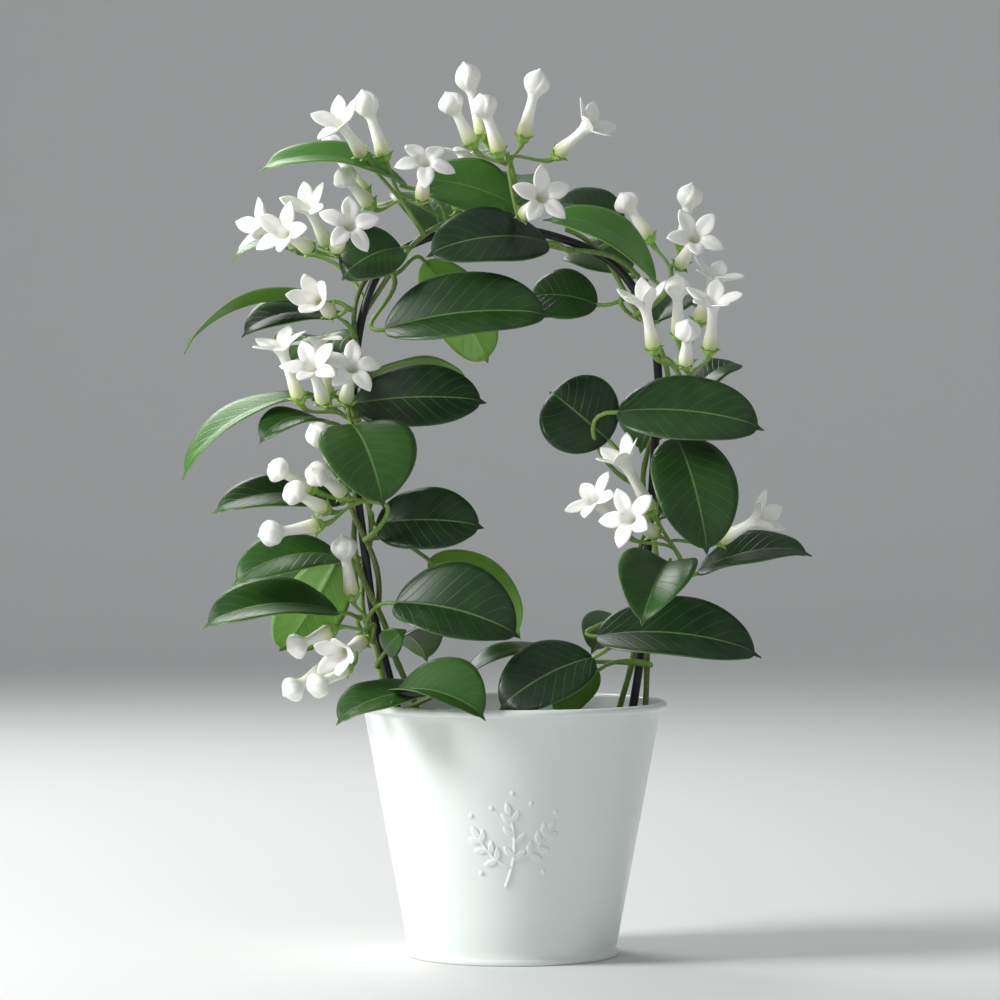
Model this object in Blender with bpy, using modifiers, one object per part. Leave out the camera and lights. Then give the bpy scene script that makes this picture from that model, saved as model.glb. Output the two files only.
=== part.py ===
"""Madagascar jasmine trained round a wire hoop, standing in a white enamelled metal pot.

Metres, +Z up. The origin is the middle of the pot's underside and the plant is seen from -Y.
Every leafy stem is one piece with its leaf stalks, leaves, flower stalks and calyces.
Every white flower or bud is a piece of its own, seated in its calyx.
"""
import math

import bmesh
import bpy
from mathutils import Matrix, Vector

MM = 0.001
SEAT_GAP = 0.3
TURNED_SEGMENTS = 32
WELD_DISTANCE = 0.01
TURNED_WELD_DISTANCE = 0.05
ROUTE_PARTS = 12
TUBE_ROUNDNESS = 1
SHARP_DEGREES = 40

# The pot: a straight tapered sheet wall, a rolled rim and a bead round the foot, in mm
POT_HEIGHT = 125.0
POT_WALL = 0.8
POT_FOOT_RADIUS = 51.2
POT_SHOULDER_RADIUS = 72.9
POT_SHOULDER_HEIGHT = 120.2
POT_RIM_RADIUS = 76.3
POT_ROLL_RADIUS = 2.0
POT_BEAD_RADIUS = 52.2
POT_BEAD_HEIGHT = 3.0
POT_BEAD_EDGE = 0.8
POT_FLOOR = 1.0
# The rim's roll, from its inside to where it meets the wall again, in degrees
POT_ROLL_DEGREES = (180, 130, 80, 30, -20, -70, -120)

# The compost, a little below the rim and heaped in the middle, in mm
SOIL_EDGE_HEIGHT = 111.5
SOIL_CROWN_HEIGHT = 115.0
SOIL_MOUND = ((26.0, 114.4), (52.0, 112.7))
SOIL_CUTTER_RISE = 20.0

# The hoop: plastic-coated wire bent to a pear shape, with both legs pushed into the compost, in mm
HOOP_WIRE_RADIUS = 2.1
HOOP_STEP = 12.5
HOOP_ROUTE = [
    (-43, 45), (-51, 92), (-57.7, 125.4), (-67.6, 164.8), (-72.5, 199), (-77.4, 238.6), (-78.4, 273),
    (-74, 312.3), (-62.7, 339.4), (-40.5, 352.7), (-11, 357.6), (18.5, 353.7), (48, 340.9),
    (65.2, 317.3), (71.6, 287.8), (70.1, 248.4), (66.7, 199.2), (63.3, 150), (60, 125.4), (54, 92), (46, 45),
]

# The stems that twine round the hoop, in mm and degrees
STEM_RADIUS = 1.5
STEM_STEP = 12.5
TWINE_RADIUS = 4.9
TWINE_PITCH = 92.0
TWINE_START = 112.0
SPREAD_RADIUS = 10.0
SPREAD_HEIGHT = (112.0, 152.0)
HOLE_CLEARANCE = 0.7
# Each stem: the hoop leg it climbs, its turn round the wire in degrees, and the hoop length it covers
STEMS = {
    "left_lower": ("left", 300, (22, 190)),
    "left_upper": ("left", 60, (22, 290)),
    "top": ("left", 180, (22, 440)),
    "right_lower": ("right", 230, (22, 200)),
    "right_upper": ("right", 50, (22, 330)),
}

# Leaf stalks, flower stalks and calyces, in mm
STALK_RADIUS = 1.05
STALK_STEPS = 2
STALK_SIDES = 4
STALK_PULL = 0.4
SPRAY_STALK_RADIUS = 1.2
SPRAY_STALK_ROUNDNESS = 0
FLOWER_STALK_RADIUS = 0.85
STATION_REACH = 40.0
STATION_LOOK = 12.0
CALYX_RADIUS = 4.4
CALYX_NOTCH_RADIUS = 2.2
CALYX_HEART_RADIUS = 0.5
CALYX_LIFT = 1.8
CALYX_DEPTH = 1.6
FLOWER_STALK_SPACING = 2.2
FLOWER_STALK_STEPS = 2
FLOWER_STALK_PULL = 0.35

# The leaf blades, in mm: leathery, thickest at the rib, folded along it, with a blunt oval outline
LEAF_RIB_THICKNESS = 1.6
LEAF_STATIONS = 6

# Each leaf, in mm and degrees: where the blade starts, its tip, its width, the way its upper face looks,
# how far it arches, how far each half folds up from the rib, and how far its tip hooks down
LEAVES = {
    "left_lower": [
        ((-84, -8, 196), (-133, -32, 188), 34, (-0.2, -0.62, 0.76), 6, 12, 7),
        ((-85, -14, 169), (-147, -34, 166), 38, (0, -0.5, 0.87), 7, 18, 3),
        ((-86, 10, 194), (-113, -2, 150), 34, (0.4, 0.85, 0.3), 5, 8, 2),
        ((-67, 2, 212), (-17, -14, 212), 36, (0, -0.86, 0.5), 4, 8, 2),
        ((-57, -24, 174), (1, -42, 161), 50, (0.05, -0.78, 0.62), 6, 24, 3),
        ((-41, 12, 194), (4, 4, 160), 34, (0.35, 0.8, 0.4), 7, 8, 4),
        ((-62, -20, 150), (-54, -32, 160), 14, (0.3, -0.8, 0.5), 2, 8, 1),
        ((-40, -46, 134), (-82, -74, 124), 34, (-0.1, -0.5, 0.86), 7, 12, 8),
        ((-56, -56, 133), (-15, -84, 125), 44, (-0.1, -0.55, 0.83), 5, 30, 3),
        ((-76, 16, 190), (-112, 62, 178), 36, (-0.2, 0.4, 0.9), 8, 12, 6),
        ((-62, 18, 152), (-44, 66, 146), 36, (0.1, 0.5, 0.86), 7, 12, 5),
    ],
    "left_upper": [
        ((-92, -4, 321), (-159, -26, 302), 36, (-0.25, 0.14, 0.96), 9, 10, 7),
        ((-90, 10, 314), (-131, -4, 308), 32, (-0.1, -0.45, 0.9), 5, 10, 4),
        ((-95, 8, 275), (-161, -14, 241), 34, (-0.4, -0.3, 0.86), 9, 14, 7),
        ((-92, -4, 262), (-121, -30, 257), 28, (-0.1, -0.4, 0.9), 5, 10, 6),
        ((-85, 6, 222), (-144, -8, 222), 30, (-0.05, -0.55, 0.83), 6, 12, 7),
        ((-77, -12, 271), (-16, -26, 273), 36, (0, -0.86, 0.5), 4, 8, 2),
        ((-74, 10, 281), (-23, 18, 284), 36, (0, 0.35, 0.93), 4, 8, 3),
        ((-78, -34, 261), (-62, -70, 226), 48, (0.1, -0.75, 0.65), 7, 12, 3),
        ((-84, 20, 296), (-114, 72, 296), 36, (-0.2, 0.3, 0.93), 9, 12, 6),
        ((-80, 18, 246), (-72, 72, 224), 38, (0, 0.6, 0.8), 8, 12, 5),
    ],
    "top": [
        ((-51, -10, 377), (-118, -30, 389), 34, (-0.15, -0.42, 0.9), 8, 12, 7),
        ((1, -12, 368), (-43, -6, 381), 34, (0.15, -0.8, 0.55), 4, 10, 2),
        ((17, -14, 350), (-38, -42, 345), 38, (-0.1, -0.78, 0.6), 6, 8, 4),
        ((-62, -26, 307), (15, -42, 315), 44, (-0.05, -0.78, 0.62), 6, 22, 3),
        ((-43, 6, 341), (-12, -4, 293), 32, (0.1, 0.9, 0.3), 5, 8, 2),
        ((-54, -16, 347), (-82, -24, 334), 38, (-0.3, -0.8, 0.5), 4, 15, 3),
        ((42, 10, 320), (8, 16, 324), 32, (0, -0.8, 0.6), 4, 8, 2),
        ((-105, 24, 346), (-138, 20, 346), 26, (0, -0.2, 1), 4, 8, 6),
        ((-34, 18, 354), (-50, 74, 378), 36, (-0.2, 0.1, 0.97), 9, 12, 6),
        ((-4, 18, 358), (6, 74, 388), 36, (0.1, 0.2, 0.97), 9, 12, 6),
    ],
    "right_upper": [
        ((51, -26, 267), (118, -42, 261), 42, (0, -0.76, 0.65), 5, 10, 3),
        ((47, -14, 253), (19, -6, 277), 42, (-0.2, -0.9, 0.3), 3, 10, 6),
        ((90, 26, 277), (113, 36, 292), 28, (-0.2, -0.35, 0.9), 3, 8, 2),
        ((70, -14, 331), (20, -28, 362), 36, (0.35, -0.5, 0.8), 9, 10, 3),
        ((55, 16, 360), (20, 24, 370), 32, (0.2, -0.65, 0.72), 4, 8, 2),
        ((59, 28, 337), (27, 42, 347), 34, (0.2, -0.6, 0.75), 4, 8, 2),
        ((72, 18, 312), (98, 68, 322), 36, (0.2, 0.3, 0.93), 8, 12, 6),
        ((76, 18, 262), (66, 72, 252), 38, (0, 0.5, 0.86), 8, 12, 5),
    ],
    "right_lower": [
        ((80, -28, 254), (93, -62, 203), 42, (0.12, -0.84, 0.52), 6, 10, 3),
        ((91, -4, 188), (143, -14, 200), 34, (-0.15, -0.42, 0.9), 5, 12, 4),
        ((76, -26, 194), (62, -74, 170), 44, (0, -0.62, 0.78), 4, 32, 3),
        ((41, -26, 158), (117, -38, 152), 46, (0, -0.62, 0.78), 6, 16, 4),
        ((39, -34, 148), (-5, -48, 126), 38, (-0.3, -0.8, 0.5), 5, 10, 3),
        ((42, -14, 141), (19, -22, 124), 28, (0, 0.85, 0.4), 4, 8, 2),
        ((31, 2, 144), (-23, -14, 140), 30, (0, -0.12, 1), 9, 8, 4),
        ((72, 16, 214), (98, 66, 212), 36, (0.2, 0.3, 0.93), 8, 12, 6),
        ((66, 18, 158), (42, 68, 150), 36, (0, 0.5, 0.86), 7, 12, 5),
    ],
}

# Each spray: its stem, the point where its flower stalks meet, and its flowers. A flower has the middle of
# its calyx and of its face or bud in mm, and the angle that its open lobes make with its tube, or None
SPRAYS = {
    "top_left": ("top", (-50, -14, 364), [
        ((-72, -22, 391), (-83, -40, 406), 55),
        ((-62, -16, 390), (-71, -22, 417), None),
        ((-72, 12, 374), (-89, 10, 398), None),
        ((-69, 0, 368), (-82, -10, 382), None),
        ((-44, -22, 370), (-42, -42, 387), 80),
        ((-27, 16, 368), (-23, 16, 393), 70),
    ]),
    "top": ("top", (1, -4, 382), [
        ((-14, 10, 402), (-22, 6, 432), None),
        ((-19, -6, 397), (-30, -12, 418), None),
        ((-6, -14, 392), (-14, -20, 416), None),
        ((5, -4, 400), (12, -8, 428), None),
        ((21, -8, 392), (37, -20, 406), 55),
        ((5, -26, 362), (14, -52, 370), 70),
    ]),
    "far_left": ("top", (-78, -12, 340), [
        ((-104, 0, 349), (-122, -12, 357), 50),
        ((-98, -20, 346), (-110, -42, 353), 55),
        ((-90, -8, 348), (-99, -24, 366), 50),
        ((-86, -34, 345), (-78, -58, 356), 80),
    ]),
    "left_single": ("left_upper", (-82, -12, 311), [
        ((-88, -16, 315), (-95, -38, 321), 30),
    ]),
    "left_upper": ("left_upper", (-82, -18, 265), [
        ((-103, -24, 272), (-112, -34, 298), 60),
        ((-90, -12, 274), (-94, -16, 301), 70),
        ((-91, -34, 271), (-96, -54, 288), 60),
        ((-81, -26, 272), (-77, -50, 288), 85),
    ]),
    "left_middle": ("left_upper", (-66, -20, 223), [
        ((-97, -18, 229), (-114, -28, 239), None),
        ((-82, -24, 227), (-94, -45, 237), None),
        ((-90, -21, 219), (-106, -34, 228), None),
        ((-93, -26, 212), (-117, -38, 208), None),
        ((-79, -20, 235), (-94, -34, 256), None),
    ]),
    "left_lone": ("left_lower", (-72, -12, 167), [
        ((-78, -14, 176), (-82, -22, 201), None),
    ]),
    "left_lower": ("left_lower", (-70, -18, 162), [
        ((-87, -20, 161), (-105, -28, 153), None),
        ((-72, -30, 156), (-82, -52, 151), 30),
        ((-89, -22, 144), (-107, -28, 132), None),
        ((-79, -38, 144), (-94, -50, 135), None),
    ]),
    "right_peak": ("right_upper", (78, -4, 334), [
        ((68, 2, 351), (56, 0, 370), None),
        ((83, 0, 347), (87, -4, 373), None),
        ((82, -10, 338), (88, -34, 351), 60),
    ]),
    "right_upper": ("right_upper", (86, -22, 280), [
        ((91, 0, 310), (99, -8, 332), 55),
        ((96, -24, 296), (97, -38, 319), 60),
        ((69, -26, 296), (64, -34, 319), 35),
        ((81, -20, 303), (80, -26, 328), None),
        ((84, -34, 289), (84, -50, 306), None),
    ]),
    "right_lower": ("right_lower", (81, -22, 197), [
        ((68, -28, 218), (54, -38, 243), 40),
        ((56, -20, 207), (40, -34, 224), 70),
        ((69, -40, 208), (56, -64, 216), 65),
        ((100, -22, 204), (119, -36, 215), 40),
    ]),
}

# The flower: a waxy tube, swollen at its foot, and five pointed lobes, in mm
FLOWER_BASE = (1.5, 0.9)
FLOWER_SWELL = (4.1, 5.0)
FLOWER_NECK_RADIUS = 2.5
FLOWER_NECK_SHARE = 0.55
FLOWER_THROAT_RADIUS = 3.8
FLOWER_THROAT_DEPTH = 5.0
FLOWER_MOUTH_RADIUS = 2.9
FLOWER_BORE_RADIUS = 1.5
LOBE_COUNT = 5
LOBE_LENGTH = 12.5
LOBE_NOTCH = 1.2
LOBE_HALF_WIDTH = 4.4
LOBE_WIDEST_SHARE = 0.5
LOBE_THICKNESS = 1.4
LOBE_RECURVE = 22.0
BUD_HEAD_RADIUS = 6.6
BUD_HEAD_SHARE = 0.82
BUD_HEAD_STATIONS = ((0.70, 0.72), (0.84, 1.0))
BUD_TIP_RADIUS = 1.0
BUD_RIB_DEPTH = 0.84
BUD_TWIST = 34.0
# Each flower of a spray is turned this much further about its own axis than the one before
FLOWER_TURN = 40.0

# Colours as linear RGB, then roughness and metallic value
FINISHES = {
    "enamel": ((0.74, 0.76, 0.73), 0.35, 0.0),
    "compost": ((0.035, 0.022, 0.014), 0.95, 0.0),
    "coated_wire": ((0.02, 0.022, 0.02), 0.45, 0.0),
    "leaf": ((0.035, 0.13, 0.025), 0.38, 0.0),
    "flower": ((0.86, 0.86, 0.74), 0.5, 0.0),
}


def millimetres(point):
    """A point given in mm, as a vector in metres."""
    return Vector(point) * MM


def smooth_step(value, low, high):
    """A smooth rise from 0 at low to 1 at high."""
    share = min(max((value - low) / (high - low), 0.0), 1.0)
    return share * share * (3 - 2 * share)


def make_material(name):
    """The Principled material of one finish."""
    colour, roughness, metallic = FINISHES[name]
    material = bpy.data.materials.new(name)
    material.use_nodes = True
    shader = material.node_tree.nodes["Principled BSDF"]
    shader.inputs["Base Color"].default_value = (*colour, 1)
    shader.inputs["Roughness"].default_value = roughness
    shader.inputs["Metallic"].default_value = metallic
    material.diffuse_color = (*colour, 1)
    return material


def add_object(name, data, collection):
    """A new object with this data in the collection."""
    piece = bpy.data.objects.new(name, data)
    collection.objects.link(piece)
    return piece


def remove_object(piece):
    """Remove an object and its mesh."""
    mesh = piece.data
    bpy.data.objects.remove(piece)
    bpy.data.meshes.remove(mesh)


def loft_mesh(name, rings):
    """A closed mesh through rings of points, with the first and last ring capped."""
    shape = bmesh.new()
    rows = [[shape.verts.new(point) for point in ring] for ring in rings]
    for low, high in zip(rows, rows[1:]):
        join_rings(shape, low, high)
    shape.faces.new(list(reversed(rows[0])))
    shape.faces.new(rows[-1])
    bmesh.ops.triangulate(shape, faces=shape.faces)
    mesh = bpy.data.meshes.new(name)
    shape.to_mesh(mesh)
    shape.free()
    return mesh


def join_rings(shape, low, high):
    """Faces between two rings whose counts are alike, or one a whole multiple of the other."""
    count = max(len(low), len(high))
    for index in range(count):
        after = (index + 1) % count
        corners = []
        for ring, step in ((low, index), (low, after), (high, after), (high, index)):
            corner = ring[step * len(ring) // count]
            if corner not in corners:
                corners.append(corner)
        shape.faces.new(corners)


def tube_mesh(name, points, radius, roundness):
    """A closed tube along the points, made as a bevelled curve and turned to a mesh."""
    curve = bpy.data.curves.new(name, "CURVE")
    curve.dimensions = "3D"
    curve.bevel_depth = radius * MM
    curve.bevel_resolution = roundness
    curve.use_fill_caps = True
    spline = curve.splines.new("POLY")
    spline.points.add(len(points) - 1)
    for place, point in zip(spline.points, points):
        place.co = (*point, 1)
    guide = add_object(name, curve, bpy.context.scene.collection)
    evaluated = guide.evaluated_get(bpy.context.evaluated_depsgraph_get())
    mesh = bpy.data.meshes.new_from_object(evaluated)
    bpy.data.objects.remove(guide)
    bpy.data.curves.remove(curve)
    return tidy_mesh(mesh)


def tidy_mesh(mesh):
    """Merge points closer than a hundredth of a millimetre, and split every face into triangles."""
    shape = bmesh.new()
    shape.from_mesh(mesh)
    bmesh.ops.remove_doubles(shape, verts=shape.verts, dist=WELD_DISTANCE * MM)
    bmesh.ops.triangulate(shape, faces=shape.faces)
    shape.to_mesh(mesh)
    shape.free()
    return mesh


def smooth_route(points, step):
    """Points a step apart along a smooth curve through the given points."""
    padded = [points[0] * 2 - points[1], *points, points[-1] * 2 - points[-2]]
    fine = []
    for before, start, end, after in zip(padded, padded[1:], padded[2:], padded[3:]):
        for part in range(ROUTE_PARTS):
            u = part / ROUTE_PARTS
            linear = (end - before) * u
            square = (2 * before - 5 * start + 4 * end - after) * u ** 2
            cube = (3 * start - before - 3 * end + after) * u ** 3
            fine.append((2 * start + linear + square + cube) / 2)
    fine.append(points[-1])
    travelled = [0.0]
    for start, end in zip(fine, fine[1:]):
        travelled.append(travelled[-1] + (end - start).length)
    count = round(travelled[-1] / step)
    route = []
    index = 0
    for number in range(count + 1):
        wanted = travelled[-1] * number / count
        while index < len(fine) - 2 and travelled[index + 1] < wanted:
            index += 1
        share = (wanted - travelled[index]) / (travelled[index + 1] - travelled[index])
        route.append(fine[index].lerp(fine[index + 1], share))
    return route


def hoop_line(leg, step):
    """The hoop's middle line, a step apart, from the foot of the named leg."""
    route = [millimetres((x, 0, z)) for x, z in HOOP_ROUTE]
    if leg == "right":
        route.reverse()
    return smooth_route(route, step * MM)


def bezier(start, start_pull, end_pull, end, steps):
    """Points along a cubic curve from start to end."""
    shares = [index / steps for index in range(steps + 1)]
    return [start * (1 - u) ** 3 + start_pull * 3 * u * (1 - u) ** 2 + end_pull * 3 * u ** 2 * (1 - u)
            + end * u ** 3 for u in shares]


def stem_route(name):
    """The stem's middle line, and for each point the direction away from the hoop."""
    leg, turn, (first, last) = STEMS[name]
    line = hoop_line(leg, STEM_STEP)
    points = []
    outwards = []
    for index in range(1, len(line) - 1):
        travelled = index * STEM_STEP
        if not first <= travelled <= last:
            continue
        along = (line[index + 1] - line[index - 1]).normalized()
        depth = Vector((0, 1, 0))
        across = along.cross(depth)
        height = line[index].z / MM
        held = smooth_step(height, *SPREAD_HEIGHT)
        angle = math.radians(turn + 360 * max(travelled - TWINE_START, 0) / TWINE_PITCH)
        outward = across * math.cos(angle) + depth * math.sin(angle)
        reach = SPREAD_RADIUS + (TWINE_RADIUS - SPREAD_RADIUS) * held
        points.append(line[index] + outward * reach * MM)
        outwards.append(outward)
    return points, outwards


def nearest_station(route, target):
    """The stem point, within reach along the stem, that faces the target best, and its outward direction."""
    points, outwards = route
    closest = min(range(len(points)), key=lambda index: (points[index] - target).length)
    reach = round(STATION_REACH / STEM_STEP)
    choices = range(max(closest - reach, 0), min(closest + reach + 1, len(points)))
    best = min(choices, key=lambda index: (points[index] + outwards[index] * STATION_LOOK * MM - target).length
               + abs(index - closest) * MM)
    return points[best], outwards[best]


def leaf_frame(row):
    """Where a leaf's blade starts, its run to the tip, and the directions of its side and upper face."""
    base, tip, _, facing, _, _, _ = row
    start = millimetres(base)
    run = millimetres(tip) - start
    along = run.normalized()
    up = Vector(facing)
    up = (up - along * up.dot(along)).normalized()
    return start, run, along.cross(up), up


def leaf_ring(row, u):
    """Left edge, top of the rib, right edge and underside of the rib, u of the way along a leaf."""
    _, _, width, _, arch, fold, hook = row
    start, run, side, up = leaf_frame(row)
    half = width / 2 * MM * math.sqrt(1 - (2 * u - 1) ** 2)
    rib = start + run * u + up * (arch * 4 * u * (1 - u) - hook * u ** 4) * MM
    angle = math.radians(fold)
    reach = side * half * math.cos(angle)
    lift = up * half * math.sin(angle)
    thick = up * LEAF_RIB_THICKNESS / 2 * MM
    return [rib - reach + lift, rib + thick, rib + reach + lift, rib - thick]


def stalk_rings(points, side, radius, count):
    """Rings along a stalk, carried back from its last point so that they don't twist."""
    rings = []
    for index in range(len(points) - 1, -1, -1):
        low = points[max(index - 1, 0)]
        high = points[min(index + 1, len(points) - 1)]
        along = (high - low).normalized()
        side = (side - along * side.dot(along)).normalized()
        up = along.cross(side)
        angles = [math.tau * step / count for step in range(count)]
        rings.append([points[index] + (side * math.cos(a) + up * math.sin(a)) * radius * MM for a in angles])
    rings.reverse()
    return rings


def stalk_line(route, start, run, steps):
    """The middle line of a stalk that leaves the stem outwards and meets start along run."""
    foot, outward = nearest_station(route, start)
    pull = (start - foot).length * STALK_PULL
    return bezier(foot, foot + outward * pull, start - run * pull, start, steps)


def add_leaf(row, route, pieces):
    """A leaf and the stalk that carries it, as one solid."""
    start, run, side, _ = leaf_frame(row)
    line = stalk_line(route, start, run.normalized(), STALK_STEPS)
    rings = stalk_rings(line, -side, STALK_RADIUS, STALK_SIDES)
    for station in range(1, LEAF_STATIONS):
        rings.append(leaf_ring(row, (1 - math.cos(math.pi * station / LEAF_STATIONS)) / 2))
    tip = leaf_ring(row, 1)[0]
    shape = bmesh.new()
    rows = [[shape.verts.new(point) for point in ring] for ring in rings]
    for low, high in zip(rows, rows[1:]):
        for edge, before, after in ((0, 3, 1), (2, 1, 3)):
            shape.faces.new((low[edge], low[after], high[after]))
            shape.faces.new((low[edge], high[after], high[edge]))
            shape.faces.new((low[before], low[edge], high[before]))
            shape.faces.new((low[edge], high[edge], high[before]))
    end = shape.verts.new(tip)
    for index in range(STALK_SIDES):
        shape.faces.new((rows[-1][index], rows[-1][(index + 1) % STALK_SIDES], end))
    shape.faces.new(list(reversed(rows[0])))
    bmesh.ops.triangulate(shape, faces=shape.faces)
    mesh = bpy.data.meshes.new("leaf")
    shape.to_mesh(mesh)
    shape.free()
    add_object("leaf", mesh, pieces)


def flower_frame(calyx, head, turn):
    """The matrix that stands a flower on its calyx, with its axis towards its head."""
    base = millimetres(calyx)
    axis = (millimetres(head) - base).normalized()
    upright = axis.to_track_quat("Z", "Y").to_matrix().to_4x4()
    return Matrix.Translation(base) @ upright @ Matrix.Rotation(math.radians(turn), 4, "Z")


def ring(radius, height, count, turn=0.0):
    """A circle of points in mm at a height."""
    angles = [math.radians(turn) + math.tau * index / count for index in range(count)]
    return [Vector((radius * math.cos(a), radius * math.sin(a), height)) for a in angles]


def calyx_rings(frame):
    """The star-shaped edge of a calyx of five pointed sepals, and the small ring at its middle."""
    star = []
    for index, point in enumerate(ring(1, 0, 2 * LOBE_COUNT)):
        if index % 2:
            star.append(frame @ (point * CALYX_NOTCH_RADIUS * MM))
        else:
            star.append(frame @ ((point * CALYX_RADIUS + Vector((0, 0, CALYX_LIFT))) * MM))
    return [star, [frame @ (point * MM) for point in ring(CALYX_HEART_RADIUS, 0, LOBE_COUNT)]]


def tube_rings(length):
    """The rings of a flower's tube from its base to its neck, in mm."""
    return [
        ring(*FLOWER_BASE, LOBE_COUNT),
        ring(*FLOWER_SWELL, 2 * LOBE_COUNT),
        ring(FLOWER_NECK_RADIUS, length * FLOWER_NECK_SHARE, LOBE_COUNT),
    ]


def lobe_edge(length, spread):
    """The edge of the five spread lobes, in mm: a notch, a side, a tip and a side for each."""
    edge = []
    for index in range(4 * LOBE_COUNT):
        along, across, middle = lobe_outline(index)
        lean = math.radians(spread + LOBE_RECURVE * along / LOBE_LENGTH)
        out = FLOWER_THROAT_RADIUS + along * math.sin(lean)
        rise = length + along * math.cos(lean)
        edge.append(Vector((out * math.cos(middle) - across * math.sin(middle),
                            out * math.sin(middle) + across * math.cos(middle), rise)))
    return edge


def open_flower_rings(length, spread):
    """The rings of an open flower: tube, back of the lobes, their edge, and the throat, in mm."""
    return [
        *tube_rings(length),
        ring(FLOWER_THROAT_RADIUS, length - LOBE_THICKNESS, 4 * LOBE_COUNT),
        lobe_edge(length, spread),
        ring(FLOWER_MOUTH_RADIUS, length, 2 * LOBE_COUNT),
        ring(FLOWER_BORE_RADIUS, length - FLOWER_THROAT_DEPTH, LOBE_COUNT),
    ]


def lobe_outline(index):
    """How far along and across its lobe an edge point lies, in mm, and the angle of that lobe's middle."""
    step = math.tau / (4 * LOBE_COUNT)
    half = LOBE_LENGTH * LOBE_WIDEST_SHARE
    notch = (LOBE_NOTCH, 0.0, step * index)
    first_side = (half, -LOBE_HALF_WIDTH, step * (index + 1))
    tip = (LOBE_LENGTH, 0.0, step * index)
    second_side = (half, LOBE_HALF_WIDTH, step * (index - 1))
    return (notch, first_side, tip, second_side)[index % 4]


def bud_rings(length):
    """The rings of a closed bud: tube, and a head of five twisted ribs to its tip, in mm."""
    rings = tube_rings(length)
    for step, (share, size) in enumerate(BUD_HEAD_STATIONS):
        turned = ring(BUD_HEAD_RADIUS * size, length * share, 2 * LOBE_COUNT, BUD_TWIST * step)
        for index in range(1, 2 * LOBE_COUNT, 2):
            turned[index].x *= BUD_RIB_DEPTH
            turned[index].y *= BUD_RIB_DEPTH
        rings.append(turned)
    rings.append(ring(BUD_TIP_RADIUS, length, LOBE_COUNT, BUD_TWIST * len(BUD_HEAD_STATIONS)))
    return rings


def add_flower(name, flower, turn, material, model):
    """One flower or bud as a piece of its own."""
    calyx, head, spread = flower
    frame = flower_frame(calyx, head, turn)
    length = (millimetres(head) - millimetres(calyx)).length / MM
    rings = bud_rings(length / BUD_HEAD_SHARE) if spread is None else open_flower_rings(length, spread)
    placed = [[frame @ (point * MM) for point in row] for row in rings]
    mesh = loft_mesh(name, placed)
    mesh.materials.append(material)
    mesh.shade_smooth()
    add_object(name, mesh, model)


def add_spray(spray, route, pieces):
    """A spray's stalks and calyces, fused later with the stem that carries them."""
    _, hub, flowers = spray
    middle = millimetres(hub)
    centre = sum((millimetres(calyx) for calyx, _, _ in flowers), Vector()) / len(flowers)
    forward = (centre - middle).normalized()
    end = middle + forward * FLOWER_STALK_SPACING * (len(flowers) - 0.5) * MM
    line = [*stalk_line(route, middle, forward, STALK_STEPS), end]
    add_object("spray_stalk", tube_mesh("spray_stalk", line, SPRAY_STALK_RADIUS, SPRAY_STALK_ROUNDNESS),
               pieces)
    for index, (calyx, head, _) in enumerate(flowers):
        frame = flower_frame(calyx, head, FLOWER_TURN * index)
        start = middle + forward * FLOWER_STALK_SPACING * index * MM
        finish = frame @ Vector((0, 0, -CALYX_DEPTH * MM))
        pull = (finish - start).length * FLOWER_STALK_PULL
        axis = frame.to_3x3() @ Vector((0, 0, 1))
        line = bezier(start, start + forward * pull, finish - axis * pull, finish, FLOWER_STALK_STEPS)
        side = frame.to_3x3() @ Vector((1, 0, 0))
        rings = stalk_rings(line, side, FLOWER_STALK_RADIUS, LOBE_COUNT)
        add_object("calyx", loft_mesh("calyx", [*rings, *calyx_rings(frame)]), pieces)


def add_stem(name, material, model):
    """One leafy stem, with everything green that it carries fused to it."""
    route = stem_route(name)
    stem = add_object("stem_" + name, tube_mesh("stem", route[0], STEM_RADIUS, TUBE_ROUNDNESS), model)
    pieces = bpy.data.collections.new("pieces_" + name)
    bpy.context.scene.collection.children.link(pieces)
    for row in LEAVES[name]:
        add_leaf(row, route, pieces)
    for spray in SPRAYS.values():
        if spray[0] == name:
            add_spray(spray, route, pieces)
    fuse(stem, pieces)
    stem.data.materials.clear()
    stem.data.materials.append(material)
    stem.data.shade_smooth()
    stem.data.set_sharp_from_angle(angle=math.radians(SHARP_DEGREES))


def fuse(base, pieces):
    """Join a collection of closed pieces to the base in one Boolean union, and remove the pieces."""
    union = base.modifiers.new("union", "BOOLEAN")
    union.operation = "UNION"
    union.solver = "MANIFOLD"
    union.operand_type = "COLLECTION"
    union.collection = pieces
    joined = bpy.data.meshes.new_from_object(base.evaluated_get(bpy.context.evaluated_depsgraph_get()))
    base.modifiers.clear()
    loose = base.data
    base.data = joined
    bpy.data.meshes.remove(loose)
    keep_outer_shell(joined)
    for piece in list(pieces.objects):
        remove_object(piece)
    bpy.data.collections.remove(pieces)


def keep_outer_shell(mesh):
    """Keep the largest connected shell, which fills any hollow that the union sealed."""
    shape = bmesh.new()
    shape.from_mesh(mesh)
    waiting = set(shape.verts)
    shells = []
    while waiting:
        front = [waiting.pop()]
        shell = set(front)
        while front:
            vert = front.pop()
            for edge in vert.link_edges:
                other = edge.other_vert(vert)
                if other not in shell:
                    shell.add(other)
                    front.append(other)
        waiting -= shell
        shells.append(shell)
    largest = max(shells, key=len)
    bmesh.ops.delete(shape, geom=[vert for vert in shape.verts if vert not in largest], context="VERTS")
    shape.to_mesh(mesh)
    shape.free()


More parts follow.
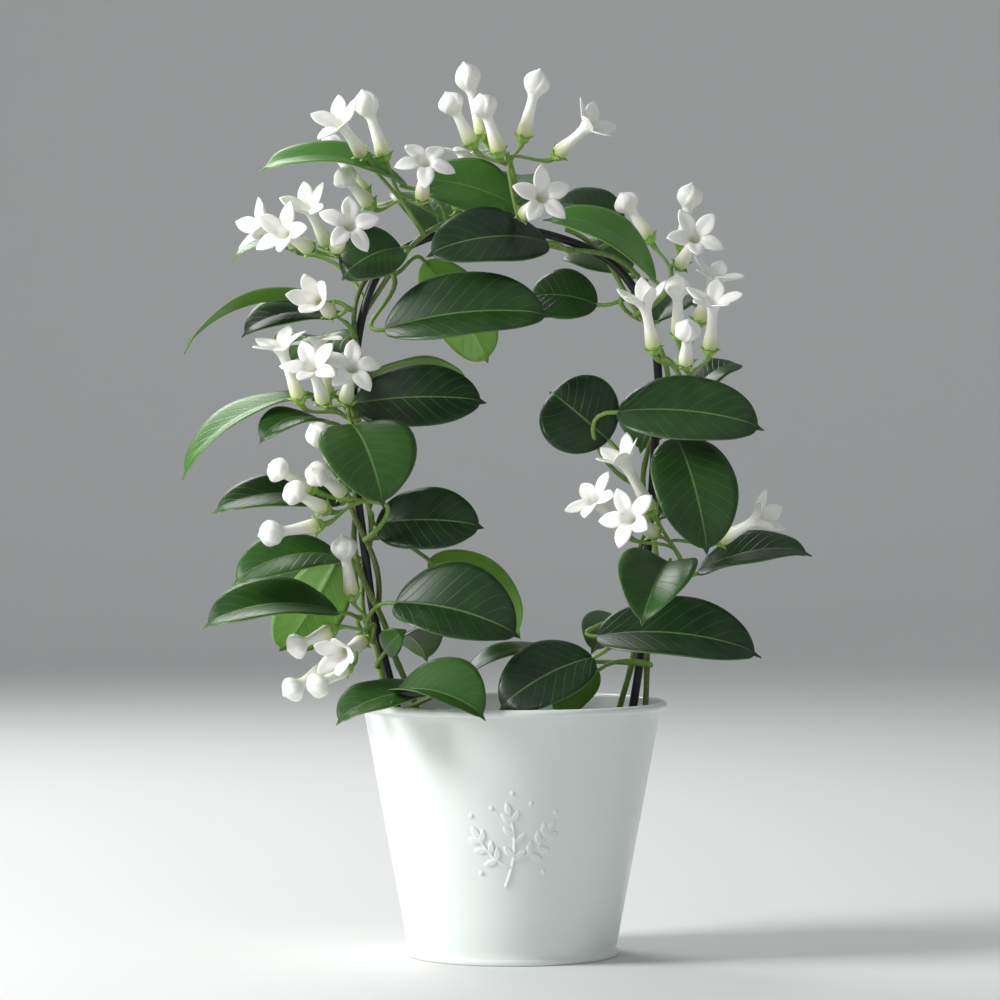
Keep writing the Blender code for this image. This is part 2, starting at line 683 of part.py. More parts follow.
def turned_object(name, profile, material, model):
    """A profile of radius and height in mm, turned about Z."""
    mesh = bpy.data.meshes.new(name)
    start = math.pi / TURNED_SEGMENTS
    points = [(radius * math.cos(start) * MM, radius * math.sin(start) * MM, height * MM)
              for radius, height in profile]
    mesh.from_pydata(points, [(index, index + 1) for index in range(len(points) - 1)], [])
    mesh.materials.append(material)
    piece = add_object(name, mesh, model)
    screw = piece.modifiers.new("turn", "SCREW")
    screw.steps = TURNED_SEGMENTS
    screw.render_steps = TURNED_SEGMENTS
    screw.use_merge_vertices = True
    screw.merge_threshold = TURNED_WELD_DISTANCE * MM
    screw.use_smooth_shade = True
    return piece


def inner_radius(height):
    """The pot's inner radius at a height, in mm."""
    share = (height - POT_BEAD_HEIGHT) / (POT_SHOULDER_HEIGHT - POT_BEAD_HEIGHT)
    return POT_FOOT_RADIUS + (POT_SHOULDER_RADIUS - POT_FOOT_RADIUS) * share - POT_WALL


def add_pot(material, model):
    """The pot, open at the top, with its rolled rim and foot bead."""
    roll_middle = (POT_RIM_RADIUS - POT_ROLL_RADIUS, POT_HEIGHT - POT_ROLL_RADIUS)
    roll = []
    for degrees in POT_ROLL_DEGREES:
        angle = math.radians(degrees)
        roll.append((roll_middle[0] + POT_ROLL_RADIUS * math.cos(angle),
                     roll_middle[1] + POT_ROLL_RADIUS * math.sin(angle)))
    profile = [
        (0, POT_FLOOR),
        (inner_radius(POT_FLOOR), POT_FLOOR),
        (inner_radius(POT_SHOULDER_HEIGHT), POT_SHOULDER_HEIGHT),
        *roll,
        (POT_SHOULDER_RADIUS, POT_SHOULDER_HEIGHT),
        (POT_FOOT_RADIUS, POT_BEAD_HEIGHT),
        (POT_BEAD_RADIUS, POT_BEAD_HEIGHT - POT_BEAD_EDGE),
        (POT_BEAD_RADIUS, POT_BEAD_EDGE),
        (POT_BEAD_RADIUS - POT_BEAD_EDGE, 0),
        (0, 0),
    ]
    turned_object("pot", profile, material, model)


def add_soil(material, model):
    """The compost that fills the pot, with a plain hole for each stem and hoop leg."""
    floor = POT_FLOOR + SEAT_GAP
    profile = [
        (0, SOIL_CROWN_HEIGHT),
        *SOIL_MOUND,
        (inner_radius(SOIL_EDGE_HEIGHT) - SEAT_GAP, SOIL_EDGE_HEIGHT),
        (inner_radius(floor) - SEAT_GAP, floor),
        (0, floor),
    ]
    soil = turned_object("soil", profile, material, model)
    cutters = bpy.data.collections.new("cutters")
    bpy.context.scene.collection.children.link(cutters)
    routes = [(hoop_line(leg, HOOP_STEP), HOOP_WIRE_RADIUS) for leg in ("left", "right")]
    routes += [(stem_route(name)[0], STEM_RADIUS) for name in STEMS]
    for route, radius in routes:
        sunk = [point for point in route if point.z < (SOIL_CROWN_HEIGHT + SOIL_CUTTER_RISE) * MM]
        foot = sunk[0] - (sunk[1] - sunk[0]).normalized() * SEAT_GAP * MM
        points = [foot, *sunk[1:-1:2], sunk[-1]]
        cutter = add_object("hole", tube_mesh("hole", points, radius + HOLE_CLEARANCE, TUBE_ROUNDNESS), cutters)
        cutter.hide_render = True
        cutter.display_type = "WIRE"
    cut = soil.modifiers.new("holes", "BOOLEAN")
    cut.operation = "DIFFERENCE"
    cut.solver = "MANIFOLD"
    cut.operand_type = "COLLECTION"
    cut.collection = cutters
    evaluated = soil.evaluated_get(bpy.context.evaluated_depsgraph_get())
    holed = bpy.data.meshes.new_from_object(evaluated)
    remove_object(soil)
    add_object("soil", tidy_mesh(holed), model)
    for cutter in list(cutters.objects):
        remove_object(cutter)
    bpy.data.collections.remove(cutters)


def main():
    """Build the pot, the compost, the hoop, the leafy stems and the flowers."""
    for piece in list(bpy.data.objects):
        bpy.data.objects.remove(piece)
    model = bpy.data.collections.new("madagascar_jasmine")
    bpy.context.scene.collection.children.link(model)
    materials = {name: make_material(name) for name in FINISHES}
    add_pot(materials["enamel"], model)
    add_soil(materials["compost"], model)
    hoop = tube_mesh("hoop", hoop_line("left", HOOP_STEP), HOOP_WIRE_RADIUS, TUBE_ROUNDNESS)
    hoop.materials.append(materials["coated_wire"])
    hoop.shade_smooth()
    add_object("hoop", hoop, model)
    for name in STEMS:
        add_stem(name, materials["leaf"], model)
    for name, (_, _, flowers) in SPRAYS.items():
        for index, flower in enumerate(flowers):
            kind = "bud" if flower[2] is None else "flower"
            add_flower(f"{kind}_{name}_{index + 1}", flower, FLOWER_TURN * index, materials["flower"], model)


if __name__ == "__main__":
    main()
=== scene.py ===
"""Dresses a madagascar jasmine that twines round a wire hoop in a white enamelled metal pot.

Sizes are in mm and become metres as each mesh is made. The studio's are in metres. The plant is seen from -Y
and +Z is up.
"""
import logging
import math
import random
from collections.abc import Iterator
from contextlib import contextmanager
from dataclasses import dataclass, field
from enum import Enum

import bmesh
import bpy
from mathutils import Matrix, Vector, noise


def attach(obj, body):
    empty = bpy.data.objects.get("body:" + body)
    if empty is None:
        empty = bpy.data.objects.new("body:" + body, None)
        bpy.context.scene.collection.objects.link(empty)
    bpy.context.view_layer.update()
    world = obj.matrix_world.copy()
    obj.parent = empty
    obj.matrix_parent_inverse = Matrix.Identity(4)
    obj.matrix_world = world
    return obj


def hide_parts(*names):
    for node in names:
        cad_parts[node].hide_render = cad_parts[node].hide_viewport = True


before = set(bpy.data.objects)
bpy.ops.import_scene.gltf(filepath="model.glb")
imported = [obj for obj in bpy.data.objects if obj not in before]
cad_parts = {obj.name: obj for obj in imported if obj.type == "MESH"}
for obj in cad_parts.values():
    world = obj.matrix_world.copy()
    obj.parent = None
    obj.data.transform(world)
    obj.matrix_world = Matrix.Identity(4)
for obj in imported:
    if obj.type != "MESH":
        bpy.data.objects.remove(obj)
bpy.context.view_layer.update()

LOG = logging.getLogger("madagascar_jasmine")
MM = 0.001
BODY = "root"
WELD_DISTANCE = 0.002 * MM
Point = tuple[float, float, float]
Ring = list[Vector]
Places = list[tuple[float, float]]


class Slot(Enum):
    """The record's material slots."""

    ENAMEL = "enamel"
    COMPOST = "compost"
    WIRE = "coated_wire"
    LEAF = "leaf"
    PETAL = "petal"


class Leg(Enum):
    """The hoop's legs, as the photograph shows them."""

    LEFT = "left"
    RIGHT = "right"


@dataclass(frozen=True)
class Climb:
    """How a stem climbs: its leg, its turn round the wire, the hoop length it covers, and its bark's age."""

    leg: Leg
    turn: float
    reach: tuple[float, float]
    age: float


@dataclass(frozen=True)
class Spray:
    """A cluster of flowers: its stem, the point where its flower stalks meet, and its flowers' rows."""

    stem: str
    hub: Point
    rows: list[tuple[Point, Point, float | None]]


# The hoop's middle line in mm, from the foot of its left leg to the foot of its right leg
HOOP_ROUTE = [
    (-43, 45), (-51, 92), (-57.7, 125.4), (-67.6, 164.8), (-72.5, 199), (-77.4, 238.6), (-78.4, 273),
    (-74, 312.3), (-62.7, 339.4), (-40.5, 352.7), (-11, 357.6), (18.5, 353.7), (48, 340.9),
    (65.2, 317.3), (71.6, 287.8), (70.1, 248.4), (66.7, 199.2), (63.3, 150), (60, 125.4), (54, 92), (46, 45),
]

# Each stem. The age of its bark runs from 0 for young green to 1 for brown
STEMS = {
    "left_lower": Climb(Leg.LEFT, 300, (22, 190), 0.05),
    "left_upper": Climb(Leg.LEFT, 60, (22, 290), 0.65),
    "top": Climb(Leg.LEFT, 180, (22, 440), 0.40),
    "right_lower": Climb(Leg.RIGHT, 230, (22, 200), 0.70),
    "right_upper": Climb(Leg.RIGHT, 50, (22, 330), 0.15),
}

# Each leaf in mm and degrees: blade start, tip, width, upper side's direction, arch, fold, tip hook, and its
# brightness from 0 for dark blades to 1 for bright ones, partly its youth and partly painted light and shade
LEAVES = {
    "left_lower": [
        ((-84, -8, 196), (-133, -32, 188), 34, (-0.2, -0.62, 0.76), 6, 12, 7, 0.30),
        ((-85, -14, 169), (-147, -34, 166), 38, (0, -0.5, 0.87), 7, 18, 3, 0.25),
        ((-86, 10, 194), (-113, -2, 150), 34, (0.4, 0.85, 0.3), 5, 8, 2, 0.60),
        ((-67, 2, 212), (-17, -14, 212), 36, (0, -0.86, 0.5), 4, 8, 2, 0.05),
        ((-57, -24, 174), (1, -42, 161), 50, (0.05, -0.78, 0.62), 6, 24, 3, 0.10),
        ((-41, 12, 194), (4, 4, 160), 34, (0.35, 0.8, 0.4), 7, 8, 4, 1.00),
        ((-62, -20, 150), (-54, -32, 160), 14, (0.3, -0.8, 0.5), 2, 8, 1, 0.40),
        ((-40, -46, 132), (-82, -74, 124), 34, (-0.1, -0.38, 0.92), 3, 12, 8, 0.30),
        ((-56, -56, 133), (-15, -84, 125), 44, (-0.1, -0.40, 0.91), 5, 30, 3, 0.35),
        ((-76, 16, 190), (-112, 62, 178), 36, (-0.2, 0.4, 0.9), 8, 12, 6, 0.20),
        ((-62, 18, 152), (-44, 66, 146), 36, (0.1, 0.5, 0.86), 7, 12, 5, 0.15),
    ],
    "left_upper": [
        ((-92, -4, 321), (-159, -26, 302), 36, (-0.25, 0.14, 0.96), 9, 10, 7, 0.55),
        ((-90, 10, 314), (-131, -4, 308), 32, (-0.1, -0.45, 0.9), 5, 10, 4, 0.15),
        ((-95, 8, 275), (-161, -14, 241), 34, (-0.4, -0.3, 0.86), 9, 14, 7, 0.65),
        ((-92, -4, 262), (-121, -30, 257), 28, (-0.1, -0.4, 0.9), 5, 10, 6, 0.20),
        ((-85, 6, 222), (-144, -8, 222), 30, (-0.05, -0.55, 0.83), 6, 12, 7, 0.20),
        ((-77, -12, 271), (-16, -26, 273), 36, (0, -0.86, 0.5), 4, 8, 2, 0.05),
        ((-74, 10, 281), (-23, 18, 284), 36, (0, 0.35, 0.93), 4, 8, 3, 0.80),
        ((-78, -34, 261), (-62, -70, 226), 48, (0.1, -0.75, 0.65), 7, 12, 3, 0.30),
        ((-84, 20, 296), (-114, 72, 296), 36, (-0.2, 0.3, 0.93), 9, 12, 6, 0.35),
        ((-80, 18, 246), (-72, 72, 224), 38, (0, 0.6, 0.8), 8, 12, 5, 0.10),
    ],
    "top": [
        ((-51, -10, 377), (-118, -30, 389), 34, (-0.15, -0.42, 0.9), 8, 12, 7, 0.85),
        ((1, -12, 368), (-43, -6, 381), 34, (0.15, -0.8, 0.55), 4, 10, 2, 0.70),
        ((17, -14, 350), (-38, -42, 345), 38, (-0.1, -0.78, 0.6), 6, 8, 4, 0.05),
        ((-62, -26, 307), (15, -42, 315), 44, (-0.05, -0.78, 0.62), 6, 22, 3, 0.16),
        ((-43, 6, 341), (-12, -4, 293), 32, (0.1, 0.9, 0.3), 5, 8, 2, 1.00),
        ((-54, -16, 347), (-82, -24, 334), 38, (-0.3, -0.8, 0.5), 4, 15, 3, 0.18),
        ((42, 10, 320), (8, 16, 324), 32, (0, -0.8, 0.6), 4, 8, 2, 0.20),
        ((-105, 24, 346), (-138, 20, 346), 26, (0, -0.2, 1), 4, 8, 6, 0.50),
        ((-34, 18, 354), (-50, 74, 378), 36, (-0.2, 0.1, 0.97), 9, 12, 6, 0.30),
        ((-4, 18, 358), (6, 74, 388), 36, (0.1, 0.2, 0.97), 9, 12, 6, 0.25),
    ],
    "right_upper": [
        ((51, -26, 267), (118, -42, 261), 42, (0, -0.76, 0.65), 5, 10, 3, 0.15),
        ((47, -14, 253), (19, -6, 277), 42, (-0.2, -0.9, 0.3), 3, 10, 6, 0.05),
        ((90, 26, 277), (113, 36, 292), 28, (-0.2, -0.35, 0.9), 3, 8, 2, 0.20),
        ((70, -14, 331), (20, -28, 362), 36, (0.35, -0.5, 0.8), 9, 10, 3, 0.85),
        ((55, 16, 360), (20, 24, 370), 32, (0.2, -0.65, 0.72), 4, 8, 2, 0.10),
        ((59, 28, 337), (27, 42, 347), 34, (0.2, -0.6, 0.75), 4, 8, 2, 0.35),
        ((72, 18, 312), (98, 68, 322), 36, (0.2, 0.3, 0.93), 8, 12, 6, 0.20),
        ((76, 18, 262), (66, 72, 252), 38, (0, 0.5, 0.86), 8, 12, 5, 0.15),
    ],
    "right_lower": [
        ((80, -28, 254), (93, -62, 203), 42, (0.12, -0.84, 0.52), 6, 10, 3, 0.20),
        ((91, -4, 188), (143, -14, 200), 34, (-0.15, -0.42, 0.9), 5, 12, 4, 0.10),
        ((76, -26, 194), (62, -74, 170), 44, (0, -0.62, 0.78), 4, 32, 3, 0.30),
        ((41, -26, 158), (117, -38, 152), 46, (0, -0.62, 0.78), 6, 16, 4, 0.05),
        ((39, -34, 148), (-5, -48, 126), 38, (-0.3, -0.8, 0.5), 5, 10, 3, 0.05),
        ((42, -14, 141), (19, -22, 124), 28, (0, 0.85, 0.4), 4, 8, 2, 0.70),
        ((31, 2, 144), (-23, -14, 140), 30, (0, -0.12, 1), 9, 8, 4, 0.30),
        ((72, 16, 214), (98, 66, 212), 36, (0.2, 0.3, 0.93), 8, 12, 6, 0.25),
        ((66, 18, 158), (42, 68, 150), 36, (0, 0.5, 0.86), 7, 12, 5, 0.15),
    ],
}

# Each spray, in mm. A flower's row has the middle of its calyx, the middle of its face or bud, and the angle
# its open lobes make with its tube, or None for a bud
SPRAYS = {
    "top_left": Spray("top", (-50, -14, 364), [
        ((-72, -22, 391), (-83, -40, 406), 55),
        ((-62, -16, 390), (-71, -22, 417), None),
        ((-72, 12, 374), (-89, 10, 398), None),
        ((-69, 0, 368), (-82, -10, 382), None),
        ((-44, -22, 370), (-42, -42, 387), 80),
        ((-27, 16, 368), (-23, 16, 393), 70),
    ]),
    "top": Spray("top", (1, -4, 382), [
        ((-14, 10, 402), (-22, 6, 432), None),
        ((-19, -6, 397), (-30, -12, 418), None),
        ((-6, -14, 392), (-14, -20, 416), None),
        ((5, -4, 400), (12, -8, 428), None),
        ((21, -8, 392), (37, -20, 406), 55),
        ((5, -26, 362), (14, -52, 370), 70),
    ]),
    "far_left": Spray("top", (-78, -12, 340), [
        ((-104, 0, 349), (-122, -12, 357), 50),
        ((-98, -20, 346), (-110, -42, 353), 55),
        ((-90, -8, 348), (-99, -24, 366), 50),
        ((-86, -34, 345), (-78, -58, 356), 80),
    ]),
    "left_single": Spray("left_upper", (-82, -12, 311), [
        ((-88, -16, 315), (-95, -38, 321), 30),
    ]),
    "left_upper": Spray("left_upper", (-82, -18, 265), [
        ((-103, -24, 272), (-112, -34, 298), 60),
        ((-90, -12, 274), (-94, -16, 301), 70),
        ((-91, -34, 271), (-96, -54, 288), 60),
        ((-81, -26, 272), (-77, -50, 288), 85),
    ]),
    "left_middle": Spray("left_upper", (-66, -20, 223), [
        ((-97, -18, 229), (-114, -28, 239), None),
        ((-82, -24, 227), (-94, -45, 237), None),
        ((-90, -21, 219), (-106, -34, 228), None),
        ((-93, -26, 212), (-117, -38, 208), None),
        ((-79, -20, 235), (-94, -34, 256), None),
    ]),
    "left_lone": Spray("left_lower", (-72, -12, 167), [
        ((-78, -14, 176), (-82, -22, 201), None),
    ]),
    "left_lower": Spray("left_lower", (-70, -18, 162), [
        ((-87, -20, 161), (-105, -28, 153), None),
        ((-72, -30, 156), (-82, -52, 151), 30),
        ((-89, -22, 144), (-107, -28, 132), None),
        ((-79, -38, 144), (-94, -50, 135), None),
    ]),
    "right_peak": Spray("right_upper", (78, -4, 334), [
        ((68, 2, 351), (56, 0, 370), None),
        ((83, 0, 347), (87, -4, 373), None),
        ((82, -10, 338), (88, -34, 351), 60),
    ]),
    "right_upper": Spray("right_upper", (86, -22, 280), [
        ((91, 0, 310), (99, -8, 332), 55),
        ((96, -24, 296), (97, -38, 319), 60),
        ((69, -26, 296), (64, -34, 319), 35),
        ((81, -20, 303), (80, -26, 328), None),
        ((84, -34, 289), (84, -50, 306), None),
    ]),
    "right_lower": Spray("right_lower", (81, -22, 197), [
        ((68, -28, 218), (54, -38, 243), 40),
        ((56, -20, 207), (40, -34, 224), 70),
        ((69, -40, 208), (56, -64, 216), 65),
        ((100, -22, 204), (119, -36, 215), 40),
    ]),
}


def linear(code: str) -> tuple[float, float, float, float]:
    """Turn an sRGB hex colour into a linear one, by the curve of the sRGB standard.

    Args:
        code: The colour, such as "#1f3d22".

    Returns:
        The linear red, green, blue and alpha.
    """
    parts = [int(code[place:place + 2], 16) / 255 for place in (1, 3, 5)]
    red, green, blue = [p / 12.92 if p <= 0.04045 else ((p + 0.055) / 1.055) ** 2.4 for p in parts]
    return red, green, blue, 1.0


def smooth_step(value: float, low: float, high: float) -> float:
    """Rise smoothly from 0 at low to 1 at high.

    Args:
        value: Where on the rise.
        low: Where it starts.
        high: Where it ends.

    Returns:
        The share of the rise, from 0 to 1.
    """
    share = min(max((value - low) / (high - low), 0.0), 1.0)
    return share * share * (3 - 2 * share)


def per_metre(size: float) -> float:
    """Give a pattern's scale, in repeats per metre, from the size in mm of one of its patches."""
    return 1.0 / (size * MM)


def to_metres(point: Point) -> Vector:
    """Give a point in mm as a vector in metres."""
    return Vector(point) * MM


def round_point(radius: float, angle: float, height: float) -> Vector:
    """Give the point at a radius and an angle round the Z axis, at a height."""
    return Vector((radius * math.cos(angle), radius * math.sin(angle), height))


def profile_at(knots: list[tuple[float, float]], place: float) -> float:
    """Read a smooth profile at a place.

    Args:
        knots: Pairs of place and value, in rising order.
        place: Where to read it.

    Returns:
        The value there, on a curve through the knots that has no kinks.
    """
    padded = [knots[0], *knots, knots[-1]]
    for before, start, end, after in zip(padded, padded[1:], padded[2:], padded[3:]):
        if place > end[0]:
            continue
        width = end[0] - start[0]
        t = max(place - start[0], 0.0) / width
        first_slope = (end[1] - before[1]) / (end[0] - before[0]) * width
        last_slope = (after[1] - start[1]) / (after[0] - start[0]) * width
        return (start[1] * (2 * t ** 3 - 3 * t ** 2 + 1) + first_slope * (t ** 3 - 2 * t ** 2 + t)
                + end[1] * (3 * t ** 2 - 2 * t ** 3) + last_slope * (t ** 3 - t ** 2))
    return knots[-1][1]


def cubic(points: tuple[Vector, Vector, Vector, Vector], u: float) -> Vector:
    """Give the point u of the way along a cubic curve from its start, its two handles and its end."""
    return (points[0] * (1 - u) ** 3 + points[1] * 3 * u * (1 - u) ** 2 + points[2] * 3 * u ** 2 * (1 - u)
            + points[3] * u ** 3)


def smooth_route(points: Ring, step: float) -> Ring:
    """Walk a smooth curve through points.

    Args:
        points: The points the curve passes.
        step: The wanted distance between the points given back.

    Returns:
        Evenly spaced points along the curve.
    """
    parts = 12
    padded = [points[0] * 2 - points[1], *points, points[-1] * 2 - points[-2]]
    fine = []
    for before, start, end, after in zip(padded, padded[1:], padded[2:], padded[3:]):
        for part in range(parts):
            u = part / parts
            fine.append(0.5 * (2 * start + (end - before) * u
                               + (2 * before - 5 * start + 4 * end - after) * u ** 2
                               + (3 * start - before - 3 * end + after) * u ** 3))
    fine.append(points[-1])
    travelled = [0.0]
    for start, end in zip(fine, fine[1:]):
        travelled.append(travelled[-1] + (end - start).length)
    count = round(travelled[-1] / step)
    route = []
    index = 0
    for number in range(count + 1):
        wanted = travelled[-1] * number / count
        while index < len(fine) - 2 and travelled[index + 1] < wanted:
            index += 1
        share = (wanted - travelled[index]) / (travelled[index + 1] - travelled[index])
        route.append(fine[index].lerp(fine[index + 1], share))
    return route


@contextmanager
def edited(mesh: bpy.types.Mesh) -> Iterator[bmesh.types.BMesh]:
    """Open a mesh for editing, and write the edits back afterwards.

    Args:
        mesh: The mesh to edit.

    Yields:
        The mesh in its editable form.
    """
    shape = bmesh.new()
    shape.from_mesh(mesh)
    yield shape
    shape.to_mesh(mesh)
    shape.free()


def split_wide_faces(shape: bmesh.types.BMesh) -> None:
    """Cut the faces of more than four sides into triangles."""
    bmesh.ops.triangulate(shape, faces=[face for face in shape.faces if len(face.verts) > 4])


def add_object(name: str, data: bpy.types.ID) -> bpy.types.Object:
    """Put a new object with this data in the scene.

    Args:
        name: The object's name.
        data: Its mesh, curve, light or camera.

    Returns:
        The new object.
    """
    piece = bpy.data.objects.new(name, data)
    bpy.context.scene.collection.objects.link(piece)
    return piece


def hand_over(piece: bpy.types.Object, slot: Slot, *nodes: str) -> None:
    """Ride a piece on the plant's one body, log its slot, and hide the solids it stands for.

    Args:
        piece: The finished piece.
        slot: Its material slot.
        *nodes: The solids that it replaces.
    """
    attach(piece, BODY)
    if nodes:
        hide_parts(*nodes)
    LOG.info("%s: %d faces, slot %s", piece.name, len(piece.data.polygons), slot.value)


# Node types and sockets that many trees use
MATH = "ShaderNodeMath"
RANGE = "ShaderNodeMapRange"
NOISE = "ShaderNodeTexNoise"
MIX = "ShaderNodeMix"
SHARE, FIRST, SECOND, MIXED = 0, 6, 7, 2
SMOOTHLY = {"interpolation_type": "SMOOTHSTEP"}
COLOURS = {"data_type": "RGBA"}

# A stretch of a pattern's values, and the two values it is mapped to
Span = tuple[float, float, float, float]


class NodeTree:
    """A node tree, with one way to add a node."""

    def __init__(self, tree: bpy.types.NodeTree) -> None:
        """Keep the tree that nodes are added to."""
        self.tree = tree

    def link(self, source: bpy.types.NodeSocket, target: bpy.types.NodeSocket) -> None:
        """Join two sockets."""
        self.tree.links.new(source, target)

    def feed(self, socket: bpy.types.NodeSocket, value: object) -> None:
        """Give an input its value.

        Args:
            socket: The input.
            value: A plain value, an sRGB hex colour, or a socket to link from.
        """
        if isinstance(value, bpy.types.NodeSocket):
            self.link(value, socket)
        else:
            socket.default_value = linear(value) if isinstance(value, str) else value

    def add(self, kind: str, inputs: dict | tuple = (), output: int | str = 0,
            **settings: object) -> bpy.types.NodeSocket:
        """Add a node with its settings and links.

        Args:
            kind: The node's type.
            inputs: Values or sockets by the inputs' names or numbers, or in the inputs' order.
            output: The wanted output's name or number.
            **settings: The node's own properties.

        Returns:
            The wanted output.
        """
        node = self.tree.nodes.new(kind)
        for name, value in settings.items():
            setattr(node, name, value)
        for name, value in inputs.items() if isinstance(inputs, dict) else enumerate(inputs):
            self.feed(node.inputs[name], value)
        return node.outputs[output]


class Shader(NodeTree):
    """A material's nodes round its main shader."""

    def __init__(self, name: str) -> None:
        """Start a material with its output and its main shader.

        Args:
            name: The material's name.
        """
        self.material = bpy.data.materials.new(name)
        self.material.use_nodes = True
        super().__init__(self.material.node_tree)
        self.tree.nodes.clear()
        self.surface = self.tree.nodes.new("ShaderNodeOutputMaterial").inputs["Surface"]
        self.main = self.add("ShaderNodeBsdfPrincipled").node
        self.link(self.main.outputs[0], self.surface)

    def settle(self, **values: object) -> None:
        """Set or link the main shader's sockets, with underscores for spaces in their names."""
        for name, value in values.items():
            self.feed(self.main.inputs[name.replace("_", " ")], value)

    def layer(self, body: object, *layers: tuple[object, Span, str]) -> bpy.types.NodeSocket:
        """Lay colours over a body colour, each by a pattern of its own.

        Args:
            body: The colour underneath, or its socket.
            *layers: Each pattern's socket, the span that makes a share of it, and the colour.

        Returns:
            The socket of the colour they make.
        """
        for pattern, span, colour in layers:
            share = self.add(RANGE, (pattern, *span), **SMOOTHLY)
            body = self.add(MIX, {SHARE: share, FIRST: body, SECOND: colour}, MIXED, **COLOURS)
        return body

    def let_light_through(self, colour: object, share: float) -> None:
        """Mix in a translucent shader, as thin leaves and petals let light through.

        Args:
            colour: The colour of the light that passes, or a socket.
            share: How much of the surface lets light through.
        """
        through = self.add("ShaderNodeBsdfTranslucent", {"Color": colour})
        self.link(self.add("ShaderNodeMixShader", (share, self.main.outputs[0], through)), self.surface)


@dataclass(frozen=True)
class LeafFinish:
    """Living stephanotis leaf: its wax cuticle shines softly, its thin flesh glows against the light, and each
    blade's green carries painted light and shade from its brightness value.
    """

    name: str = "waxy_leaf_upper"
    deep: str = "#13291a"
    fresh_and_lit: str = "#4f8a2c"
    rib: str = "#83a566"
    passing: str = "#8fce3a"
    roughness: float = 0.38
    coat: float = 0.12
    through: float = 0.22
    coat_roughness: float = 0.28
    specular: float = 0.4
    mottle: float = 11.0
    grain: float = 1.1
    leaf_length: float = 72.0
    vein_spacing: float = 8.0
    vein_slant: float = 0.55
    vein_height: float = 0.16
    grain_depth: float = 0.1
    vein_depth: float = 0.6
    vein_tint: float = 0.09
    mottling: Span = (0.3, 0.75, 0.0, 0.10)
    vein_line: Span = (0.0, 0.10, 1.0, 0.0)
    rib_line: Span = (0.005, 0.019, 0.54, 0.0)
    margin: Span = (0.478, 0.499, 0.0, 0.45)

    def build(self) -> bpy.types.Material:
        """Make the leaf material, whose veins follow the leaf's own UV places.

        Returns:
            The finished material.
        """
        shader = Shader(self.name)
        point = shader.add("ShaderNodeTexCoord", output="Object")
        place = shader.add("ShaderNodeUVMap", uv_map="place")
        along, across, _ = shader.add("ShaderNodeSeparateXYZ", (place,)).node.outputs
        shade = shader.add("ShaderNodeAttribute", output="Fac", attribute_name="shade")
        off_middle = shader.add(MATH, (across, 0.5), operation="SUBTRACT")
        off_rib = shader.add(MATH, (off_middle,), operation="ABSOLUTE")
        mottle = shader.add(NOISE, {"Vector": point, "Scale": per_metre(self.mottle), "Detail": 4.0})
        blotch = shader.add(RANGE, (mottle, *self.mottling), **SMOOTHLY)
        # The blade's brightness, partly its youth and partly painted light and shade, with random mottling,
        # blends the deep green towards the bright green
        age = shader.add(MATH, (shade, blotch), operation="ADD")
        body = shader.add(MIX, {SHARE: age, FIRST: self.deep, SECOND: self.fresh_and_lit}, MIXED, **COLOURS)
        # The UV place runs from 0 to 1 along a leaf, so the side veins' spacing is a share of its length
        slant = shader.add(MATH, (off_rib, self.vein_slant), operation="MULTIPLY")
        run = shader.add(MATH, (along, slant), operation="SUBTRACT")
        count = shader.add(MATH, (run, self.leaf_length / self.vein_spacing), operation="MULTIPLY")
        part = shader.add(MATH, (count,), operation="FRACT")
        off_vein = shader.add(MATH, (part, 0.5), operation="SUBTRACT")
        aside = shader.add(MATH, (off_vein,), operation="ABSOLUTE")
        vein = shader.add(RANGE, (aside, *self.vein_line), **SMOOTHLY)
        tint = shader.add(MATH, (vein, self.vein_tint), operation="MULTIPLY")
        body = shader.add(MIX, {SHARE: tint, FIRST: body, SECOND: self.rib}, MIXED, **COLOURS)
        body = shader.layer(body, (off_rib, self.rib_line, self.rib), (off_rib, self.margin, self.rib))
        grain = shader.add(NOISE, {"Vector": point, "Scale": per_metre(self.grain), "Detail": 2.0})
        raised = shader.add(MATH, (grain, self.grain_depth), operation="MULTIPLY")
        sunk = shader.add(MATH, (vein, self.vein_depth), operation="MULTIPLY")
        height = shader.add(MATH, (raised, sunk), operation="SUBTRACT")
        relief = shader.add("ShaderNodeBump", {"Height": height, "Distance": self.vein_height * MM})
        shader.settle(Base_Color=body, Roughness=self.roughness, Coat_Weight=self.coat,
                      Coat_Roughness=self.coat_roughness, Specular_IOR_Level=self.specular, Normal=relief)
        # The light let through is also darker on blades given painted shade
        lit = shader.add(MIX, {SHARE: shade, FIRST: self.deep, SECOND: self.passing}, MIXED, **COLOURS)
        shader.let_light_through(lit, self.through)
        return shader.material


@dataclass(frozen=True)
class StemFinish:
    """Smooth green bark of a young vine, duller, browner and more specked where its stem is older."""

    name: str = "green_bark"
    young: str = "#7da04a"
    old: str = "#5a5a34"
    roughness: float = 0.48
    speck: float = 1.4
    speck_height: float = 0.15
    specking: Span = (0.3, 0.7, -0.15, 0.2)
    browning: Span = (0.0, 1.0, 0.0, 1.0)

    def build(self) -> bpy.types.Material:
        """Make the bark material, browned by the age kept in the shade attribute.

        Returns:
            The finished material.
        """
        shader = Shader(self.name)
        point = shader.add("ShaderNodeTexCoord", output="Object")
        shade = shader.add("ShaderNodeAttribute", output="Fac", attribute_name="shade")
        speck = shader.add(NOISE, {"Vector": point, "Scale": per_metre(self.speck), "Detail": 3.0})
        specks = shader.add(RANGE, (speck, *self.specking), **SMOOTHLY)
        age = shader.add(MATH, (shade, specks), operation="ADD")
        bark = shader.layer(self.young, (age, self.browning, self.old))
        relief = shader.add("ShaderNodeBump", {"Height": speck, "Distance": self.speck_height * MM})
        shader.settle(Base_Color=bark, Roughness=self.roughness, Normal=relief)
        return shader.material


